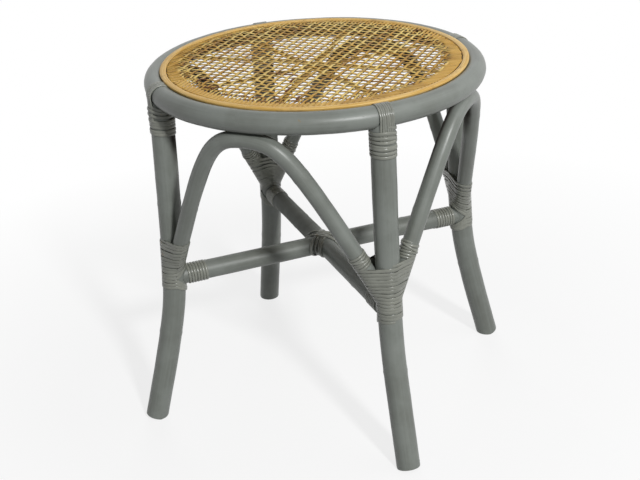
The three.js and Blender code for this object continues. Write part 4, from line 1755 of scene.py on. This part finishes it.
class MakeStage(StoolStep, bpy.types.Operator):
    """Sets the floor, the lights, the sky and the camera"""

    bl_idname = "stool.make_stage"
    bl_label = "Stage"

    def make(self):
        floor = new_primitive("floor", bpy.ops.mesh.primitive_plane_add, size=24, location=(0, 0, 0))
        floor.data.materials.append(studio_floor())
        for lamp in LAMPS:
            self.hang_lamp(*lamp)
        self.light_sky()
        self.set_camera()
        bpy.context.scene.view_settings.view_transform = "Standard"

    def hang_lamp(self, name, azimuth, height, distance, size, shines):
        """Hangs a round soft lamp that points at the stool's middle."""
        aim = Vector((0, 0, 0.25))
        rise = math.radians(height)
        way = outward(math.radians(azimuth)) * math.cos(rise) + UP * math.sin(rise)
        turn = way.to_track_quat("Z", "Y").to_euler()
        bpy.ops.object.light_add(type="AREA", location=aim + way * distance, rotation=turn)
        lamp = bpy.context.object
        lamp.name = f"{name} lamp"
        lamp.data.shape = "DISK"
        lamp.data.size = size
        lamp.data.energy = getattr(studio(), f"{name}_power")
        lamp.visible_camera = False
        lamp.visible_glossy = shines

    def light_sky(self):
        """Even light from all round, in front of a white background."""
        world = bpy.data.worlds.new("studio sky")
        bpy.context.scene.world = world
        sky = Nodes(world)
        lit = sky.tree.nodes["Background"]
        sky.put(lit.inputs["Color"], (0.97, 0.98, 1.0))
        sky.put(lit.inputs["Strength"], studio().sky_power)
        white = sky.node("ShaderNodeBackground", None, {"Color": (1, 1, 1), "Strength": 1.0})
        sky.show(sky.seen(), Socket(sky, lit.outputs[0]), white)

    def set_camera(self):
        """The camera stands where the photograph was taken from."""
        tilt, roll, turn = math.radians(25.32), math.radians(-3.02), math.radians(24.1)
        distance, aside, above = 1.534, 0.00245, 0.0386
        aim_height, lens = 0.24475, 65.79
        look = Vector((0, math.cos(tilt), -math.sin(tilt)))
        level = Vector((1, 0, 0))
        up = level.cross(look)
        right = level * math.cos(roll) + up * math.sin(roll)
        top = up * math.cos(roll) - level * math.sin(roll)
        place = UP * aim_height - look * distance - right * aside - top * above
        stand = Matrix((right, top, -look)).transposed().to_4x4()
        stand.translation = place
        bpy.ops.object.camera_add()
        camera = bpy.context.object
        camera.matrix_world = Matrix.Rotation(turn, 4, "Z") @ stand
        camera.data.sensor_width = 36
        camera.data.lens = lens
        bpy.context.scene.camera = camera


STEPS = (
    MakeRim,
    MakeHoop,
    MakeBead,
    MakeSupports,
    MakeWebbing,
    MakeLegs,
    MakeArches,
    MakeStretchers,
    MakeStraps,
    MakeTopBindings,
    MakeJointBindings,
    MakeArchEndBindings,
    MakeStretcherEndBindings,
    MakeCrossBinding,
    MakeFasteners,
    MakeStage,
)
GROUPS = {
    "stool_seat": SeatSizes,
    "stool_poles": PoleSizes,
    "stool_cane": CaneSizes,
    "stool_fasteners": FastenerSizes,
    "stool_colours": StoolColours,
    "stool_stage": StageSizes,
}


class StoolPanel(bpy.types.Panel):
    """Lists the stool's sizes, colours and steps"""

    bl_idname = "VIEW3D_PT_stool"
    bl_label = "Painted rattan stool"
    bl_space_type = "VIEW_3D"
    bl_region_type = "UI"
    bl_category = "Stool"

    def draw(self, context):
        for name, group in GROUPS.items():
            box = self.layout.box()
            for field in group.__annotations__:
                box.prop(getattr(context.scene, name), field)
        for step in STEPS:
            self.layout.operator(step.bl_idname)


def register():
    for item in (*GROUPS.values(), *STEPS, StoolPanel):
        bpy.utils.register_class(item)
    for name, group in GROUPS.items():
        setattr(bpy.types.Scene, name, bpy.props.PointerProperty(type=group))


def unregister():
    for name in GROUPS:
        delattr(bpy.types.Scene, name)
    for item in (StoolPanel, *reversed(STEPS), *reversed(GROUPS.values())):
        bpy.utils.unregister_class(item)


def main():
    register()
    for step in STEPS:
        family, name = step.bl_idname.split(".")
        getattr(getattr(bpy.ops, family), name)()


if __name__ == "__main__":
    main()
